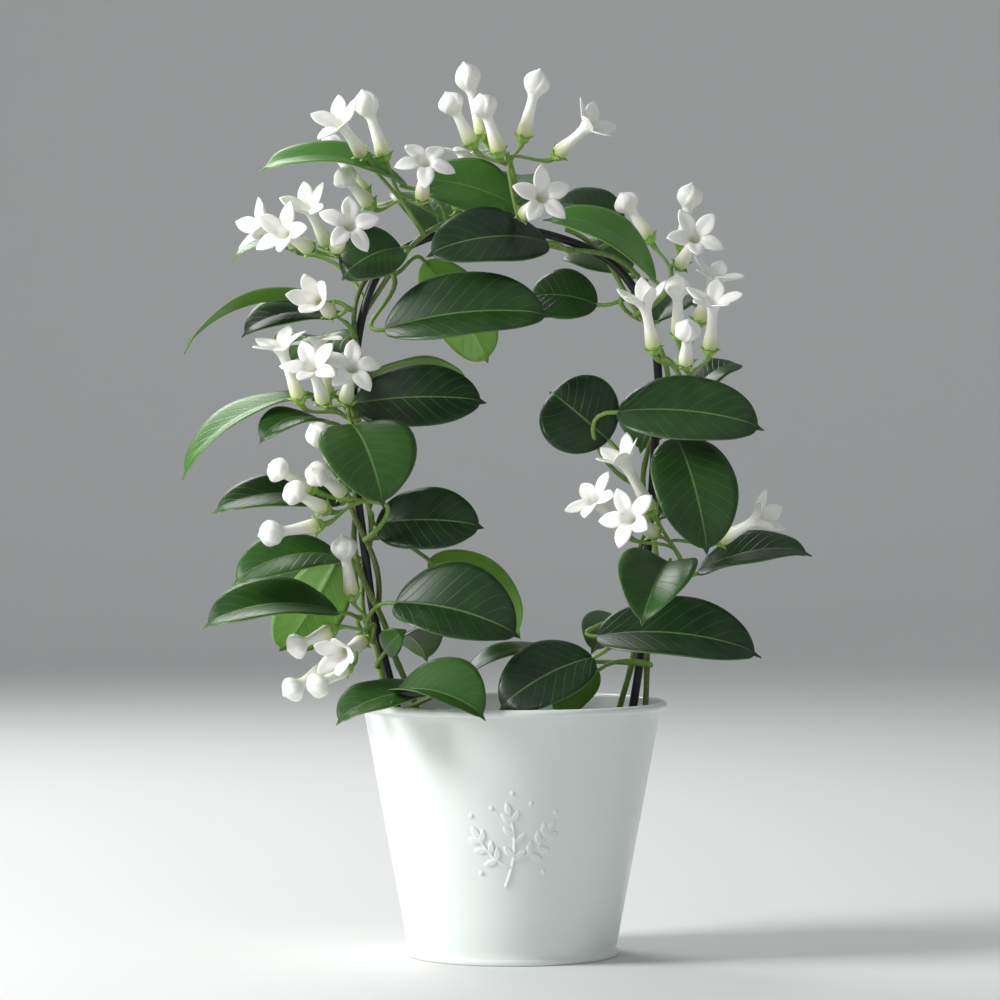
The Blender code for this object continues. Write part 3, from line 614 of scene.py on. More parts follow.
@dataclass(frozen=True)
class PetalFinish:
    """Waxy jasmine corolla: thick ivory flesh that light sinks into, greener at its foot and throat."""

    name: str = "waxy_petal"
    ivory: str = "#fbfaf4"
    cream: str = "#f1efd2"
    green: str = "#c2d27e"
    throat: str = "#dcea9c"
    roughness: float = 0.42
    sinking: float = 0.3
    sinking_depth: float = 1.2
    sinking_colours: Point = (1.0, 0.96, 0.82)
    coat: float = 0.08
    coat_roughness: float = 0.3
    through: float = 0.10
    flesh: float = 4.5
    flesh_height: float = 0.12
    clearing: Span = (0.06, 0.40, 0.0, 1.0)
    greening: Span = (0.02, 0.24, 1.0, 0.0)
    throat_glow: Span = (0.90, 0.97, 0.0, 0.55)
    mottling: Span = (0.35, 0.65, 0.0, 0.12)

    def build(self) -> bpy.types.Material:
        """Make the petal material, tinted along the tube by the flower's own UV places.

        Returns:
            The finished material.
        """
        shader = Shader(self.name)
        point = shader.add("ShaderNodeTexCoord", output="Object")
        place = shader.add("ShaderNodeUVMap", uv_map="place")
        along = shader.add("ShaderNodeSeparateXYZ", (place,), 1)
        flesh = shader.add(NOISE, {"Vector": point, "Scale": per_metre(self.flesh), "Detail": 3.0})
        body = shader.layer(self.cream, (along, self.clearing, self.ivory),
                            (along, self.greening, self.green), (along, self.throat_glow, self.throat),
                            (flesh, self.mottling, self.cream))
        relief = shader.add("ShaderNodeBump", {"Height": flesh, "Distance": self.flesh_height * MM})
        shader.settle(Base_Color=body, Roughness=self.roughness, Subsurface_Weight=self.sinking,
                      Subsurface_Radius=self.sinking_colours, Subsurface_Scale=self.sinking_depth * MM,
                      Coat_Weight=self.coat, Coat_Roughness=self.coat_roughness, Normal=relief)
        shader.let_light_through(self.ivory, self.through)
        return shader.material


@dataclass(frozen=True)
class EnamelFinish:
    """White enamel on pressed sheet metal: glassy, faintly uneven, and greyer in patches, most towards the
    foot.
    """

    name: str = "white_enamel"
    white: str = "#e9eeeb"
    greyer_white: str = "#cfd6d2"
    roughness: float = 0.30
    smoother: float = 0.03
    rougher: float = 0.06
    coat: float = 0.35
    coat_roughness: float = 0.18
    cloud: float = 38.0
    ripple: float = 17.0
    ripple_height: float = 0.2
    ripple_strength: float = 0.18
    # How much greyer the wall is from the floor up to 30 mm
    dusty: Span = (0.0, 0.03, 0.5, 0.0)
    clouding: Span = (0.2, 0.9, 0.0, 0.18)

    def build(self) -> bpy.types.Material:
        """Make the enamel material, greyer towards the foot by the height in metres.

        Returns:
            The finished material.
        """
        shader = Shader(self.name)
        point = shader.add("ShaderNodeTexCoord", output="Object")
        height = shader.add("ShaderNodeSeparateXYZ", (point,), 2)
        cloud = shader.add(NOISE, {"Vector": point, "Scale": per_metre(self.cloud), "Detail": 5.0})
        # Greyer in patches towards the foot, and in random clouds all over
        low_down = shader.add(RANGE, (height, *self.dusty), **SMOOTHLY)
        dust = shader.add(MATH, (low_down, cloud), operation="MULTIPLY")
        clouds = shader.add(RANGE, (cloud, *self.clouding), **SMOOTHLY)
        greying = shader.add(MATH, (dust, clouds), operation="ADD")
        coat = shader.add(MIX, {SHARE: greying, FIRST: self.white, SECOND: self.greyer_white}, MIXED, **COLOURS)
        dullness = (0.2, 0.8, self.roughness - self.smoother, self.roughness + self.rougher)
        ripple = shader.add(NOISE, {"Vector": point, "Scale": per_metre(self.ripple), "Detail": 1.0})
        relief = shader.add("ShaderNodeBump", {"Height": ripple, "Distance": self.ripple_height * MM,
                                               "Strength": self.ripple_strength})
        shader.settle(Base_Color=coat, Roughness=shader.add(RANGE, (cloud, *dullness), **SMOOTHLY),
                      Coat_Weight=self.coat, Coat_Roughness=self.coat_roughness, Normal=relief)
        return shader.material


@dataclass(frozen=True)
class CompostFinish:
    """Moist peat compost: dark brown crumbs and paler fibre, dull all over."""

    name: str = "peat_compost"
    dark: str = "#1d130d"
    brown: str = "#4a3222"
    fibre: str = "#7d5f40"
    roughness: float = 0.93
    crumb: float = 4.0
    crumb_height: float = 0.8
    fibre_size: float = 2.4
    browning: Span = (0.35, 0.65, 0.0, 1.0)
    fibres: Span = (0.82, 0.95, 0.0, 0.8)

    def build(self) -> bpy.types.Material:
        """Make the compost material.

        Returns:
            The finished material.
        """
        shader = Shader(self.name)
        point = shader.add("ShaderNodeTexCoord", output="Object")
        crumb = shader.add(NOISE, {"Vector": point, "Scale": per_metre(self.crumb), "Detail": 5.0})
        cell = shader.add("ShaderNodeTexVoronoi", {"Vector": point, "Scale": per_metre(self.fibre_size)}, 1)
        body = shader.layer(self.dark, (crumb, self.browning, self.brown), (cell, self.fibres, self.fibre))
        relief = shader.add("ShaderNodeBump", {"Height": crumb, "Distance": self.crumb_height * MM})
        shader.settle(Base_Color=body, Roughness=self.roughness, Normal=relief)
        return shader.material


@dataclass(frozen=True)
class WireFinish:
    """Black PVC coating drawn over steel wire: a satin black with faint unevenness and dust."""

    name: str = "black_pvc_wire"
    black: str = "#141614"
    dust: str = "#3b3d39"
    roughness: float = 0.42
    cloud: float = 3.3
    cloud_height: float = 0.1
    dusty: Span = (0.5, 0.8, 0.0, 0.5)

    def build(self) -> bpy.types.Material:
        """Make the wire material.

        Returns:
            The finished material.
        """
        shader = Shader(self.name)
        point = shader.add("ShaderNodeTexCoord", output="Object")
        cloud = shader.add(NOISE, {"Vector": point, "Scale": per_metre(self.cloud), "Detail": 4.0})
        body = shader.layer(self.black, (cloud, self.dusty, self.dust))
        relief = shader.add("ShaderNodeBump", {"Height": cloud, "Distance": self.cloud_height * MM})
        shader.settle(Base_Color=body, Roughness=self.roughness, Normal=relief)
        return shader.material


@dataclass(frozen=True)
class FloorFinish:
    """Plain matt studio paper, which takes soft shadows and gives no shine."""

    name: str = "studio_paper"
    pale: str = "#d9dad8"
    roughness: float = 0.85

    def build(self) -> bpy.types.Material:
        """Make the floor material.

        Returns:
            The finished material.
        """
        shader = Shader(self.name)
        shader.settle(Base_Color=self.pale, Roughness=self.roughness)
        return shader.material


class GeometryTree(NodeTree):
    """A Geometry Nodes tree with named inputs."""

    def __init__(self, name: str, sizes: dict[str, float | int]) -> None:
        """Start a tree that takes and gives a geometry.

        Args:
            name: The tree's name.
            sizes: Each named input and its value.
        """
        super().__init__(bpy.data.node_groups.new(name, "GeometryNodeTree"))
        self.sizes = sizes
        face = self.tree.interface
        face.new_socket("Geometry", in_out="INPUT", socket_type="NodeSocketGeometry")
        for label, value in sizes.items():
            kind = "NodeSocketInt" if isinstance(value, int) else "NodeSocketFloat"
            face.new_socket(label, in_out="INPUT", socket_type=kind)
        face.new_socket("Geometry", in_out="OUTPUT", socket_type="NodeSocketGeometry")
        self.given = self.tree.nodes.new("NodeGroupInput").outputs
        self.result = self.tree.nodes.new("NodeGroupOutput").inputs[0]

    def finish(self, geometry: bpy.types.NodeSocket, material: bpy.types.Material) -> None:
        """End the tree in Realize Instances and Set Material."""
        real = self.add("GeometryNodeRealizeInstances", {"Geometry": geometry})
        self.link(self.add("GeometryNodeSetMaterial", {"Geometry": real, "Material": material}), self.result)

    def applied_to(self, source: bpy.types.Object, name: str) -> bpy.types.Object:
        """Run the tree on an object and keep the result as a plain mesh.

        Args:
            source: The object whose geometry the tree takes, which is removed.
            name: The finished piece's name.

        Returns:
            The finished piece.
        """
        modifier = source.modifiers.new("nodes", "NODES")
        modifier.node_group = self.tree
        for item in self.tree.interface.items_tree:
            if item.in_out == "INPUT" and item.name in self.sizes:
                modifier[item.identifier] = self.sizes[item.name]
        evaluated = source.evaluated_get(bpy.context.evaluated_depsgraph_get())
        mesh = bpy.data.meshes.new_from_object(evaluated)
        mesh.name = name
        source.modifiers.clear()
        bpy.data.objects.remove(source)
        return add_object(name, mesh)


@dataclass
class Surface:
    """Points in metres, UV places, shades, faces and finish numbers gathered for one mesh."""

    points: list[Vector] = field(default_factory=list)
    places: Places = field(default_factory=list)
    shades: list[float] = field(default_factory=list)
    faces: list[tuple[int, ...]] = field(default_factory=list)
    finishes: list[int] = field(default_factory=list)

    def add_rings(self, rings: list[Ring], places: list[Places] | None = None, shade: float = 0.0,
                  capped: bool = True) -> None:
        """Add a closed skin through rings of points, each of one count.

        Args:
            rings: Rings of points, anticlockwise about the way from the first ring to the last.
            places: UV places, one for each point and one more to close each ring, or None for none.
            shade: One value for the skin's shade attribute.
            capped: Whether the first and last ring are closed.
        """
        count = len(rings[0])
        start = len(self.points)
        for ring, row in zip(rings, places or [[(0.5, 0.5)] * (count + 1)] * len(rings)):
            self.points += [*ring, ring[0]]
            self.places += row
            self.shades += [shade] * (count + 1)
        for step in range(len(rings) - 1):
            low = start + step * (count + 1)
            high = low + count + 1
            self.faces += [(low + index, low + index + 1, high + index + 1, high + index)
                           for index in range(count)]
        if capped:
            last = start + (len(rings) - 1) * (count + 1)
            self.faces += [tuple(range(start, start + count))[::-1], tuple(range(last, last + count))]
        self.finishes += [0] * (len(self.faces) - len(self.finishes))

    def to_object(self, name: str, materials: list[bpy.types.Material]) -> bpy.types.Object:
        """Make the gathered skins one smooth mesh object with closed seams.

        Args:
            name: The object's name.
            materials: The materials, in the order of their numbers.

        Returns:
            The new object, at the origin.
        """
        mesh = bpy.data.meshes.new(name)
        mesh.from_pydata(self.points, [], self.faces)
        layer = mesh.uv_layers.new(name="place")
        for loop in mesh.loops:
            layer.data[loop.index].uv = self.places[loop.vertex_index]
        mesh.attributes.new("shade", "FLOAT", "POINT").data.foreach_set("value", self.shades)
        for material in materials:
            mesh.materials.append(material)
        mesh.polygons.foreach_set("material_index", self.finishes)
        with edited(mesh) as shape:
            bmesh.ops.remove_doubles(shape, verts=shape.verts, dist=WELD_DISTANCE)
            split_wide_faces(shape)
        mesh.shade_smooth()
        return add_object(name, mesh)


@dataclass
class Strand:
    """One run of round tube: its middle line and radii in metres, and its age from 0 to 1."""

    line: Ring
    radii: list[float]
    age: float


def sweep(strands: list[Strand], name: str, sides: int, material: bpy.types.Material) -> bpy.types.Object:
    """Sweep round tubes along strands with Geometry Nodes.

    Args:
        strands: The tubes to make.
        name: The piece's name.
        sides: How many sides the tubes have.
        material: Their material.

    Returns:
        The finished piece.
    """
    curve = bpy.data.curves.new(name, "CURVE")
    curve.dimensions = "3D"
    for strand in strands:
        spline = curve.splines.new("POLY")
        spline.points.add(len(strand.line) - 1)
        for place, point, radius in zip(spline.points, strand.line, strand.radii):
            place.co = (*point, 1)
            place.radius = radius
    nodes = GeometryTree("round_tubes", {"Sides": sides, "Thickness": 1.0})
    profile = nodes.add("GeometryNodeCurvePrimitiveCircle", {"Resolution": nodes.given["Sides"],
                                                             "Radius": nodes.given["Thickness"]})
    tube = nodes.add("GeometryNodeCurveToMesh", {
        "Curve": nodes.given["Geometry"], "Profile Curve": profile,
        "Scale": nodes.add("GeometryNodeInputRadius"), "Fill Caps": True})
    nodes.finish(nodes.add("GeometryNodeSetShadeSmooth", {"Geometry": tube}), material)
    piece = nodes.applied_to(add_object(name + "_route", curve), name)
    with edited(piece.data) as shape:
        bmesh.ops.remove_doubles(shape, verts=shape.verts, dist=WELD_DISTANCE)
        bmesh.ops.recalc_face_normals(shape, faces=shape.faces)
    ages = [strand.age for strand in strands for _ in range(len(strand.line) * sides)]
    piece.data.attributes.new("shade", "FLOAT", "POINT").data.foreach_set("value", ages)
    return piece


@dataclass
class Hoop:
    """The wire hoop that the vine climbs."""

    wire_radius: float = 2.1
    step: float = 3.0
    sides: int = 20

    def line(self, leg: Leg, step: float) -> Ring:
        """Give the wire's middle line in metres.

        Args:
            leg: The leg from whose foot it starts.
            step: The distance in mm between its points.

        Returns:
            The line's points.
        """
        route = [to_metres((x, 0, z)) for x, z in HOOP_ROUTE]
        return smooth_route(route if leg is Leg.LEFT else route[::-1], step * MM)

    def build(self, material: bpy.types.Material) -> None:
        """Sweep the coated wire with Geometry Nodes, and hide the solid it stands for.

        Args:
            material: The coating's material.
        """
        line = self.line(Leg.LEFT, self.step)
        wire = Strand(line, [self.wire_radius * MM] * len(line), 0.0)
        hand_over(sweep([wire], "hoop_wire", self.sides, material), Slot.WIRE, "hoop")


@dataclass
class Leaf:
    """One leaf blade, from the row that places it. Lengths are in mm and u runs from 0 at its start to 1."""

    base: Point
    tip: Point
    width: float
    facing: Point
    arch: float
    fold: float
    hook: float
    # The blade's brightness from its row: partly its youth, partly painted light and shade
    shade: float
    wave: float
    stations: int = 34
    columns: int = 16
    crowding: float = 1.35
    blade_share: float = 0.94
    rim: float = 0.22
    flesh: float = 0.24
    hook_share: float = 0.35
    cusp_drop: float = 2.0
    cusp_half_width: float = 1.6
    cusp_end: float = 1.045
    least_half_width: float = 0.05
    fold_round: float = 1.4
    rib_half_width: float = 1.1
    rib_groove: float = 0.28
    rib_ridge: float = 0.95
    rib_ridge_loss: float = 0.75
    waves: float = 1.6
    waved_half_width: float = 12.0
    edge_roll: float = 0.035

    def stance(self) -> tuple[Vector, Vector, Vector, Vector]:
        """Give how the blade stands.

        Returns:
            Its start and its run to the tip in metres, and the directions of its side and upper face.
        """
        start = to_metres(self.base)
        run = to_metres(self.tip) - start
        along = run.normalized()
        up = Vector(self.facing)
        up = (up - along * up.dot(along)).normalized()
        return start, run, along.cross(up), up

    def half_width(self, u: float) -> float:
        """Work out half the blade's width, an oval with a short pointed tip.

        Args:
            u: How far along the blade.

        Returns:
            The half width in mm.
        """
        oval = self.width / 2 * math.sqrt(max(1 - (2 * u - 1) ** 2, 0.0))
        taper = (self.cusp_end - u) / (self.cusp_end - 1)
        cusp = self.cusp_half_width * smooth_step(u, 0.90, 0.98) * taper
        return max(oval, min(cusp, self.cusp_half_width), self.least_half_width)

    def height(self, u: float, v: float, across: float, top: bool) -> float:
        """Work out how far a place on the blade stands above its middle line.

        Args:
            u: How far along the blade.
            v: How far across it, from -1 at the left edge to 1.
            across: The same in mm.
            top: Whether the place is on the upper face.

        Returns:
            The height in mm.
        """
        half = self.half_width(u)
        steepness = math.sin(math.radians(self.fold))
        fold_lift = steepness * (math.hypot(across, self.fold_round) - self.fold_round)
        ripple = (self.wave * v ** 4 * math.sin(math.tau * self.waves * u + self.shade * 40 + v)
                  * min(half / self.waved_half_width, 1))
        roll = -self.edge_roll * half * v ** 6
        near_rib = math.exp(-(across / self.rib_half_width) ** 2)
        thick = self.rim + self.flesh * (1 - v * v)
        middle = fold_lift + ripple + roll
        if top:
            return middle + thick - self.rib_groove * near_rib * (1 - u)
        return middle - thick - (self.rib_ridge - self.rib_ridge_loss * min(u, 1.0)) * near_rib

    def ring(self, u: float) -> tuple[Ring, Places]:
        """Give one cross-section, from the left edge over the top to the right edge and back underneath.

        Args:
            u: How far along the blade.

        Returns:
            Its points in metres, and their UV places.
        """
        start, run, side, up = self.stance()
        drop = self.hook * self.hook_share * u ** 4 + self.cusp_drop * smooth_step(u, 0.92, 1.04)
        rib = start + run * u + up * (self.arch * 4 * u * (1 - u) - drop) * MM
        level = math.cos(math.radians(self.fold))
        points = []
        places = []
        steps = range(self.columns + 1)
        for top, order in ((True, steps), (False, reversed(steps))):
            for step in order:
                turn = 2 * step / self.columns - 1
                v = math.copysign(abs(turn) ** self.crowding, turn)
                across = self.half_width(u) * v
                points.append(rib + (side * across * level + up * self.height(u, v, across, top)) * MM)
                places.append((min(u, 1.0), 0.5 + v / 2))
        return points, [*places, places[0]]

    def add_to(self, surface: Surface) -> None:
        """Add the blade's skin to a surface: the upper finish above, the lower finish beneath.

        Args:
            surface: The surface of all the stem's leaves.
        """
        rings = []
        for station in range(self.stations + 1):
            share = station / self.stations
            u = 0.5 * (1 - math.cos(math.pi * min(share / self.blade_share, 1.0)))
            if share > self.blade_share:
                u += (self.cusp_end - 1) * (share - self.blade_share) / (1 - self.blade_share)
            rings.append(self.ring(min(u, self.cusp_end - 0.001)))
        first = len(surface.finishes)
        surface.add_rings([points for points, _ in rings], [places for _, places in rings], self.shade)
        around = 2 * (self.columns + 1)
        for index in range(first, len(surface.finishes) - 2):
            surface.finishes[index] = 0 if (index - first) % around <= self.columns else 1


@dataclass
class Flower:
    """One open flower or closed bud, from the row that places it. Lengths are in mm, angles in degrees.

    A bud has no spread, which is the angle that open lobes make with the tube.
    """

    name: str
    calyx: Point
    head: Point
    spread: float | None
    order: int
    seed: int
    base_radius: float = 1.5
    base_height: float = 0.9
    swell_radius: float = 3.75
    swell_height: float = 4.0
    neck_radius: float = 2.5
    throat_radius: float = 3.8
    lobe_length: float = 12.5
    lobe_count: int = 5
    lobe_columns: int = 16
    lobe_steps: int = 9
    most_lean: float = 12.0
    tube_lean: float = 12.0
    curl_gain: float = 0.45
    curl_loss: float = 11.0
    flute: float = 0.05
    flesh: float = 0.55
    flesh_loss: float = 0.32
    keel: float = 0.45
    cup: float = 0.09
    ruffle: float = 0.4
    bud_radius: float = 6.6
    bud_head_share: float = 0.82
    bud_end: float = 1.02
    bud_twist: float = 130.0
    bud_lap: float = 0.105
    bud_place_share: float = 0.86
    turn_between: float = 40.0

    def stance(self) -> Matrix:
        """Give the matrix that stands the flower on its calyx, with its axis towards its head.

        Returns:
            The matrix, in metres.
        """
        base = to_metres(self.calyx)
        axis = (to_metres(self.head) - base).normalized()
        upright = axis.to_track_quat("Z", "Y").to_matrix().to_4x4()
        turn = Matrix.Rotation(math.radians(self.turn_between * self.order), 4, "Z")
        return Matrix.Translation(base) @ upright @ turn

    def length(self) -> float:
        """Give the distance from the calyx to the middle of the face or bud."""
        return (Vector(self.head) - Vector(self.calyx)).length

    def tube(self, top: float) -> list[Ring]:
        """Work out an open flower's tube, with five flutes that deepen towards its lobes.

        Args:
            top: The height of the last ring.

        Returns:
            The rings from its base up.
        """
        knots = [(self.base_height, self.base_radius), (2.0, 3.2), (self.swell_height, self.swell_radius),
                 (8.5, 3.3), (self.length() * 0.58, self.neck_radius), (self.length() * 0.85, 2.75),
                 (top, self.throat_radius)]
        steps = 16
        count = self.lobe_count * self.lobe_columns
        rings = []
        for step in range(steps + 1):
            height = self.base_height + (top - self.base_height) * step / steps
            radius = profile_at(knots, height)
            deep = self.flute * smooth_step(height, self.swell_height + 1, top)
            angles = [math.tau * index / count for index in range(count)]
            sizes = [radius * (1 - deep * (0.5 + 0.5 * math.cos(self.lobe_count * angle))) for angle in angles]
            rings.append([round_point(size, angle, height) for size, angle in zip(sizes, angles)])
        return rings

    def lobe_edge(self, turn: float) -> Vector:
        """Find a place on the lobe's outline.

        Args:
            turn: From -1 at one notch through 0 at the tip to 1 at the other notch.

        Returns:
            How far it is out from the flower's axis and across the lobe.
        """
        half_step = math.pi / self.lobe_count
        notch = Vector((math.cos(half_step), math.sin(half_step))) * (self.throat_radius + 0.9)
        tip = Vector((self.throat_radius + self.lobe_length, 0.0))
        place = cubic((notch, Vector((7.4, 5.6)), Vector((13.2, 4.3)), tip), 1 - abs(turn))
        return Vector((place.x, math.copysign(place.y, turn)))

    def bend(self, along: float, spread: float) -> tuple[float, float, float]:
        """Follow a lobe's bend out of the tube.

        Args:
            along: How far along the lobe.
            spread: The lobe's angle with the tube.

        Returns:
            How far it reaches out, how far it rises, and its lean there in radians.
        """
        steps = 10
        reach = rise = 0.0
        lean = math.radians(self.tube_lean)
        curl = self.curl_gain * spread - self.curl_loss
        for step in range(steps):
            place = along * (step + 0.5) / steps
            lean = math.radians(self.tube_lean + (spread - self.tube_lean) * smooth_step(place, -1.0, 2.6)
                                + curl * place / self.lobe_length)
            reach += math.sin(lean) * along / steps
            rise += math.cos(lean) * along / steps
        return reach, rise, lean

    def lobe_ring(self, share: float, sign: int, leans: list[float]) -> Ring:
        """Work out one ring of the five lobes.

        Args:
            share: How far it is from the throat at 0 to the lobes' edge at 1.
            sign: 1 on the lobes' upper faces and -1 on their backs.
            leans: What each lobe adds to the spread.

        Returns:
            The ring.
        """
        points = []
        for lobe, own_lean in enumerate(leans):
            middle = math.tau * (lobe + 0.5) / self.lobe_count
            for column in range(self.lobe_columns):
                turn = 2 * column / self.lobe_columns - 1
                angle = turn * math.pi / self.lobe_count
                throat = Vector((math.cos(angle), math.sin(angle))) * self.throat_radius
                out, across = throat.lerp(self.lobe_edge(turn), share)
                along = max(out - throat.x, 0.0)
                reach, rise, lean = self.bend(along, self.spread + own_lean)
                thick = sign * (self.flesh - self.flesh_loss * share ** 2)
                keel = self.keel * math.exp(-(across / 0.8) ** 2) * smooth_step(along, 1.0, 4.0) * (1 - share)
                cup = self.cup * (1 - share) * across ** 2 * min(along / 4, 1)
                wave = (self.ruffle * math.sin(turn * 5 + lobe * 1.7 + self.seed) * share ** 2
                        * min(along / 6, 1))
                reach += throat.x - thick * math.cos(lean)
                rise += self.length() + cup - keel + wave + thick * math.sin(lean)
                points.append(Vector((reach * math.cos(middle) - across * math.sin(middle),
                                      reach * math.sin(middle) + across * math.cos(middle), rise)))
        return points

    def open_rings(self) -> list[Ring]:
        """Work out an open flower.

        Returns:
            The rings of its tube, the backs of its lobes, their faces and the throat.
        """
        rng = random.Random(self.seed)
        leans = [rng.uniform(-self.most_lean, self.most_lean) for _ in range(self.lobe_count)]
        steps = range(1, self.lobe_steps + 1)
        rings = self.tube(self.length() - 0.8)
        rings += [self.lobe_ring(step / self.lobe_steps, -1, leans) for step in steps]
        rings += [self.lobe_ring(step / self.lobe_steps, 1, leans) for step in reversed(steps)]
        count = self.lobe_count * self.lobe_columns
        for depth, radius in ((0.3, 3.1), (1.4, 2.7), (3.0, 2.2), (5.5, 1.7), (8.0, 1.3)):
            rings.append([round_point(radius, math.tau * index / count, self.length() - depth)
                          for index in range(count)])
        return rings

    def bud_rings(self) -> list[Ring]:
        """Work out a closed bud.

        Returns:
            The rings of its tube and of its head, five lobes wound over each other.
        """
        count = 60
        steps = 56
        length = self.length() / self.bud_head_share
        head = [(0.50, self.neck_radius), (0.60, 2.55), (0.655, 3.5), (0.70, 5.0), (0.76, 6.25),
                (0.82, self.bud_radius), (0.88, 6.0), (0.935, 4.4), (0.975, 2.3), (1.0, 0.95),
                (self.bud_end, 0.3)]
        knots = [(self.base_height, self.base_radius), (2.0, 3.2), (self.swell_height, self.swell_radius),
                 (8.5, 3.25), *((share * length, radius) for share, radius in head)]
        rings = []
        for step in range(steps + 1):
            height = self.base_height + (self.bud_end * length - self.base_height) * step / steps
            wound = self.bud_lap * smooth_step(height, 0.60 * length, 0.78 * length)
            twist = math.radians(self.bud_twist) * (height / length - 0.58)
            ring = []
            for index in range(count):
                angle = math.tau * index / count
                lap = (self.lobe_count * (angle - twist) / math.tau) % 1.0
                ridge = smooth_step(lap, 0.0, 0.16) * (1 - smooth_step(lap, 0.25, 1.0))
                ring.append(round_point(profile_at(knots, height) * (1 - wound * (1 - ridge)), angle, height))
            rings.append(ring)
        return rings

    def build(self, material: bpy.types.Material) -> None:
        """Make the corolla, and hide the solid it stands for.

        Args:
            material: The petals' material.
        """
        bud = self.spread is None
        rings = self.bud_rings() if bud else self.open_rings()
        count = len(rings[0])
        heights = [0.0]
        for low, high in zip(rings, rings[1:]):
            heights.append(heights[-1] + sum((b - a).length for a, b in zip(low, high)) / count)
        share = self.bud_place_share if bud else 1.0
        places = [[(index / count, share * height / heights[-1]) for index in range(count + 1)]
                  for height in heights]
        stance = self.stance()
        surface = Surface()
        surface.add_rings([[stance @ (point * MM) for point in ring] for ring in rings], places)
        piece = surface.to_object("corolla_" + self.name, [material])
        hand_over(piece, Slot.PETAL, f"{'bud' if bud else 'flower'}_{self.name}")


def flowers_of(name: str) -> list[Flower]:
    """Give the flowers of a spray, in the order of its rows."""
    return [Flower(f"{name}_{order + 1}", *row, order, order * 7 + len(name))
            for order, row in enumerate(SPRAYS[name].rows)]


@dataclass
class Calyx:
    """The green calyx of five pointed sepals round a flower's foot. Lengths are in mm."""

    depth: float = 1.6
    sepal_length: float = 6.2
    sepal_count: int = 5
    notch: float = 0.6
    tip_rise: float = 2.1
    count: int = 40
    shade: float = 0.05

    def add_to(self, surface: Surface, stance: Matrix) -> None:
        """Add the calyx's skin to a surface.

        Args:
            surface: The surface of all the stem's calyces.
            stance: The matrix that stands it on its stalk, in metres.
        """
        # Each ring's height, and its shares of the sepals' length and their tips' rise, outside then inside
        profile = ((-self.depth, 0.20, 0.0), (-1.2, 0.36, 0.0), (-0.4, 0.52, 0.15), (0.4, 0.66, 0.5),
                   (0.9, 0.84, 0.85), (0.9, 1.0, 1.0), (1.5, 0.84, 0.85), (1.1, 0.64, 0.5), (0.7, 0.48, 0.2),
                   (0.35, 0.12, 0.0))
        rings = []
        for height, share, lift in profile:
            ring = []
            for index in range(self.count):
                angle = math.tau * index / self.count
                off_tip = abs((self.sepal_count * angle / math.tau + 0.5) % 1.0 - 0.5) * 2
                sepal = 1 - self.notch * off_tip ** 0.6 * smooth_step(share, 0.35, 1.0)
                rise = height + self.tip_rise * lift * (1 - off_tip)
                ring.append(stance @ (round_point(self.sepal_length * share * sepal, angle, rise) * MM))
            rings.append(ring)
        surface.add_rings(rings, shade=self.shade)


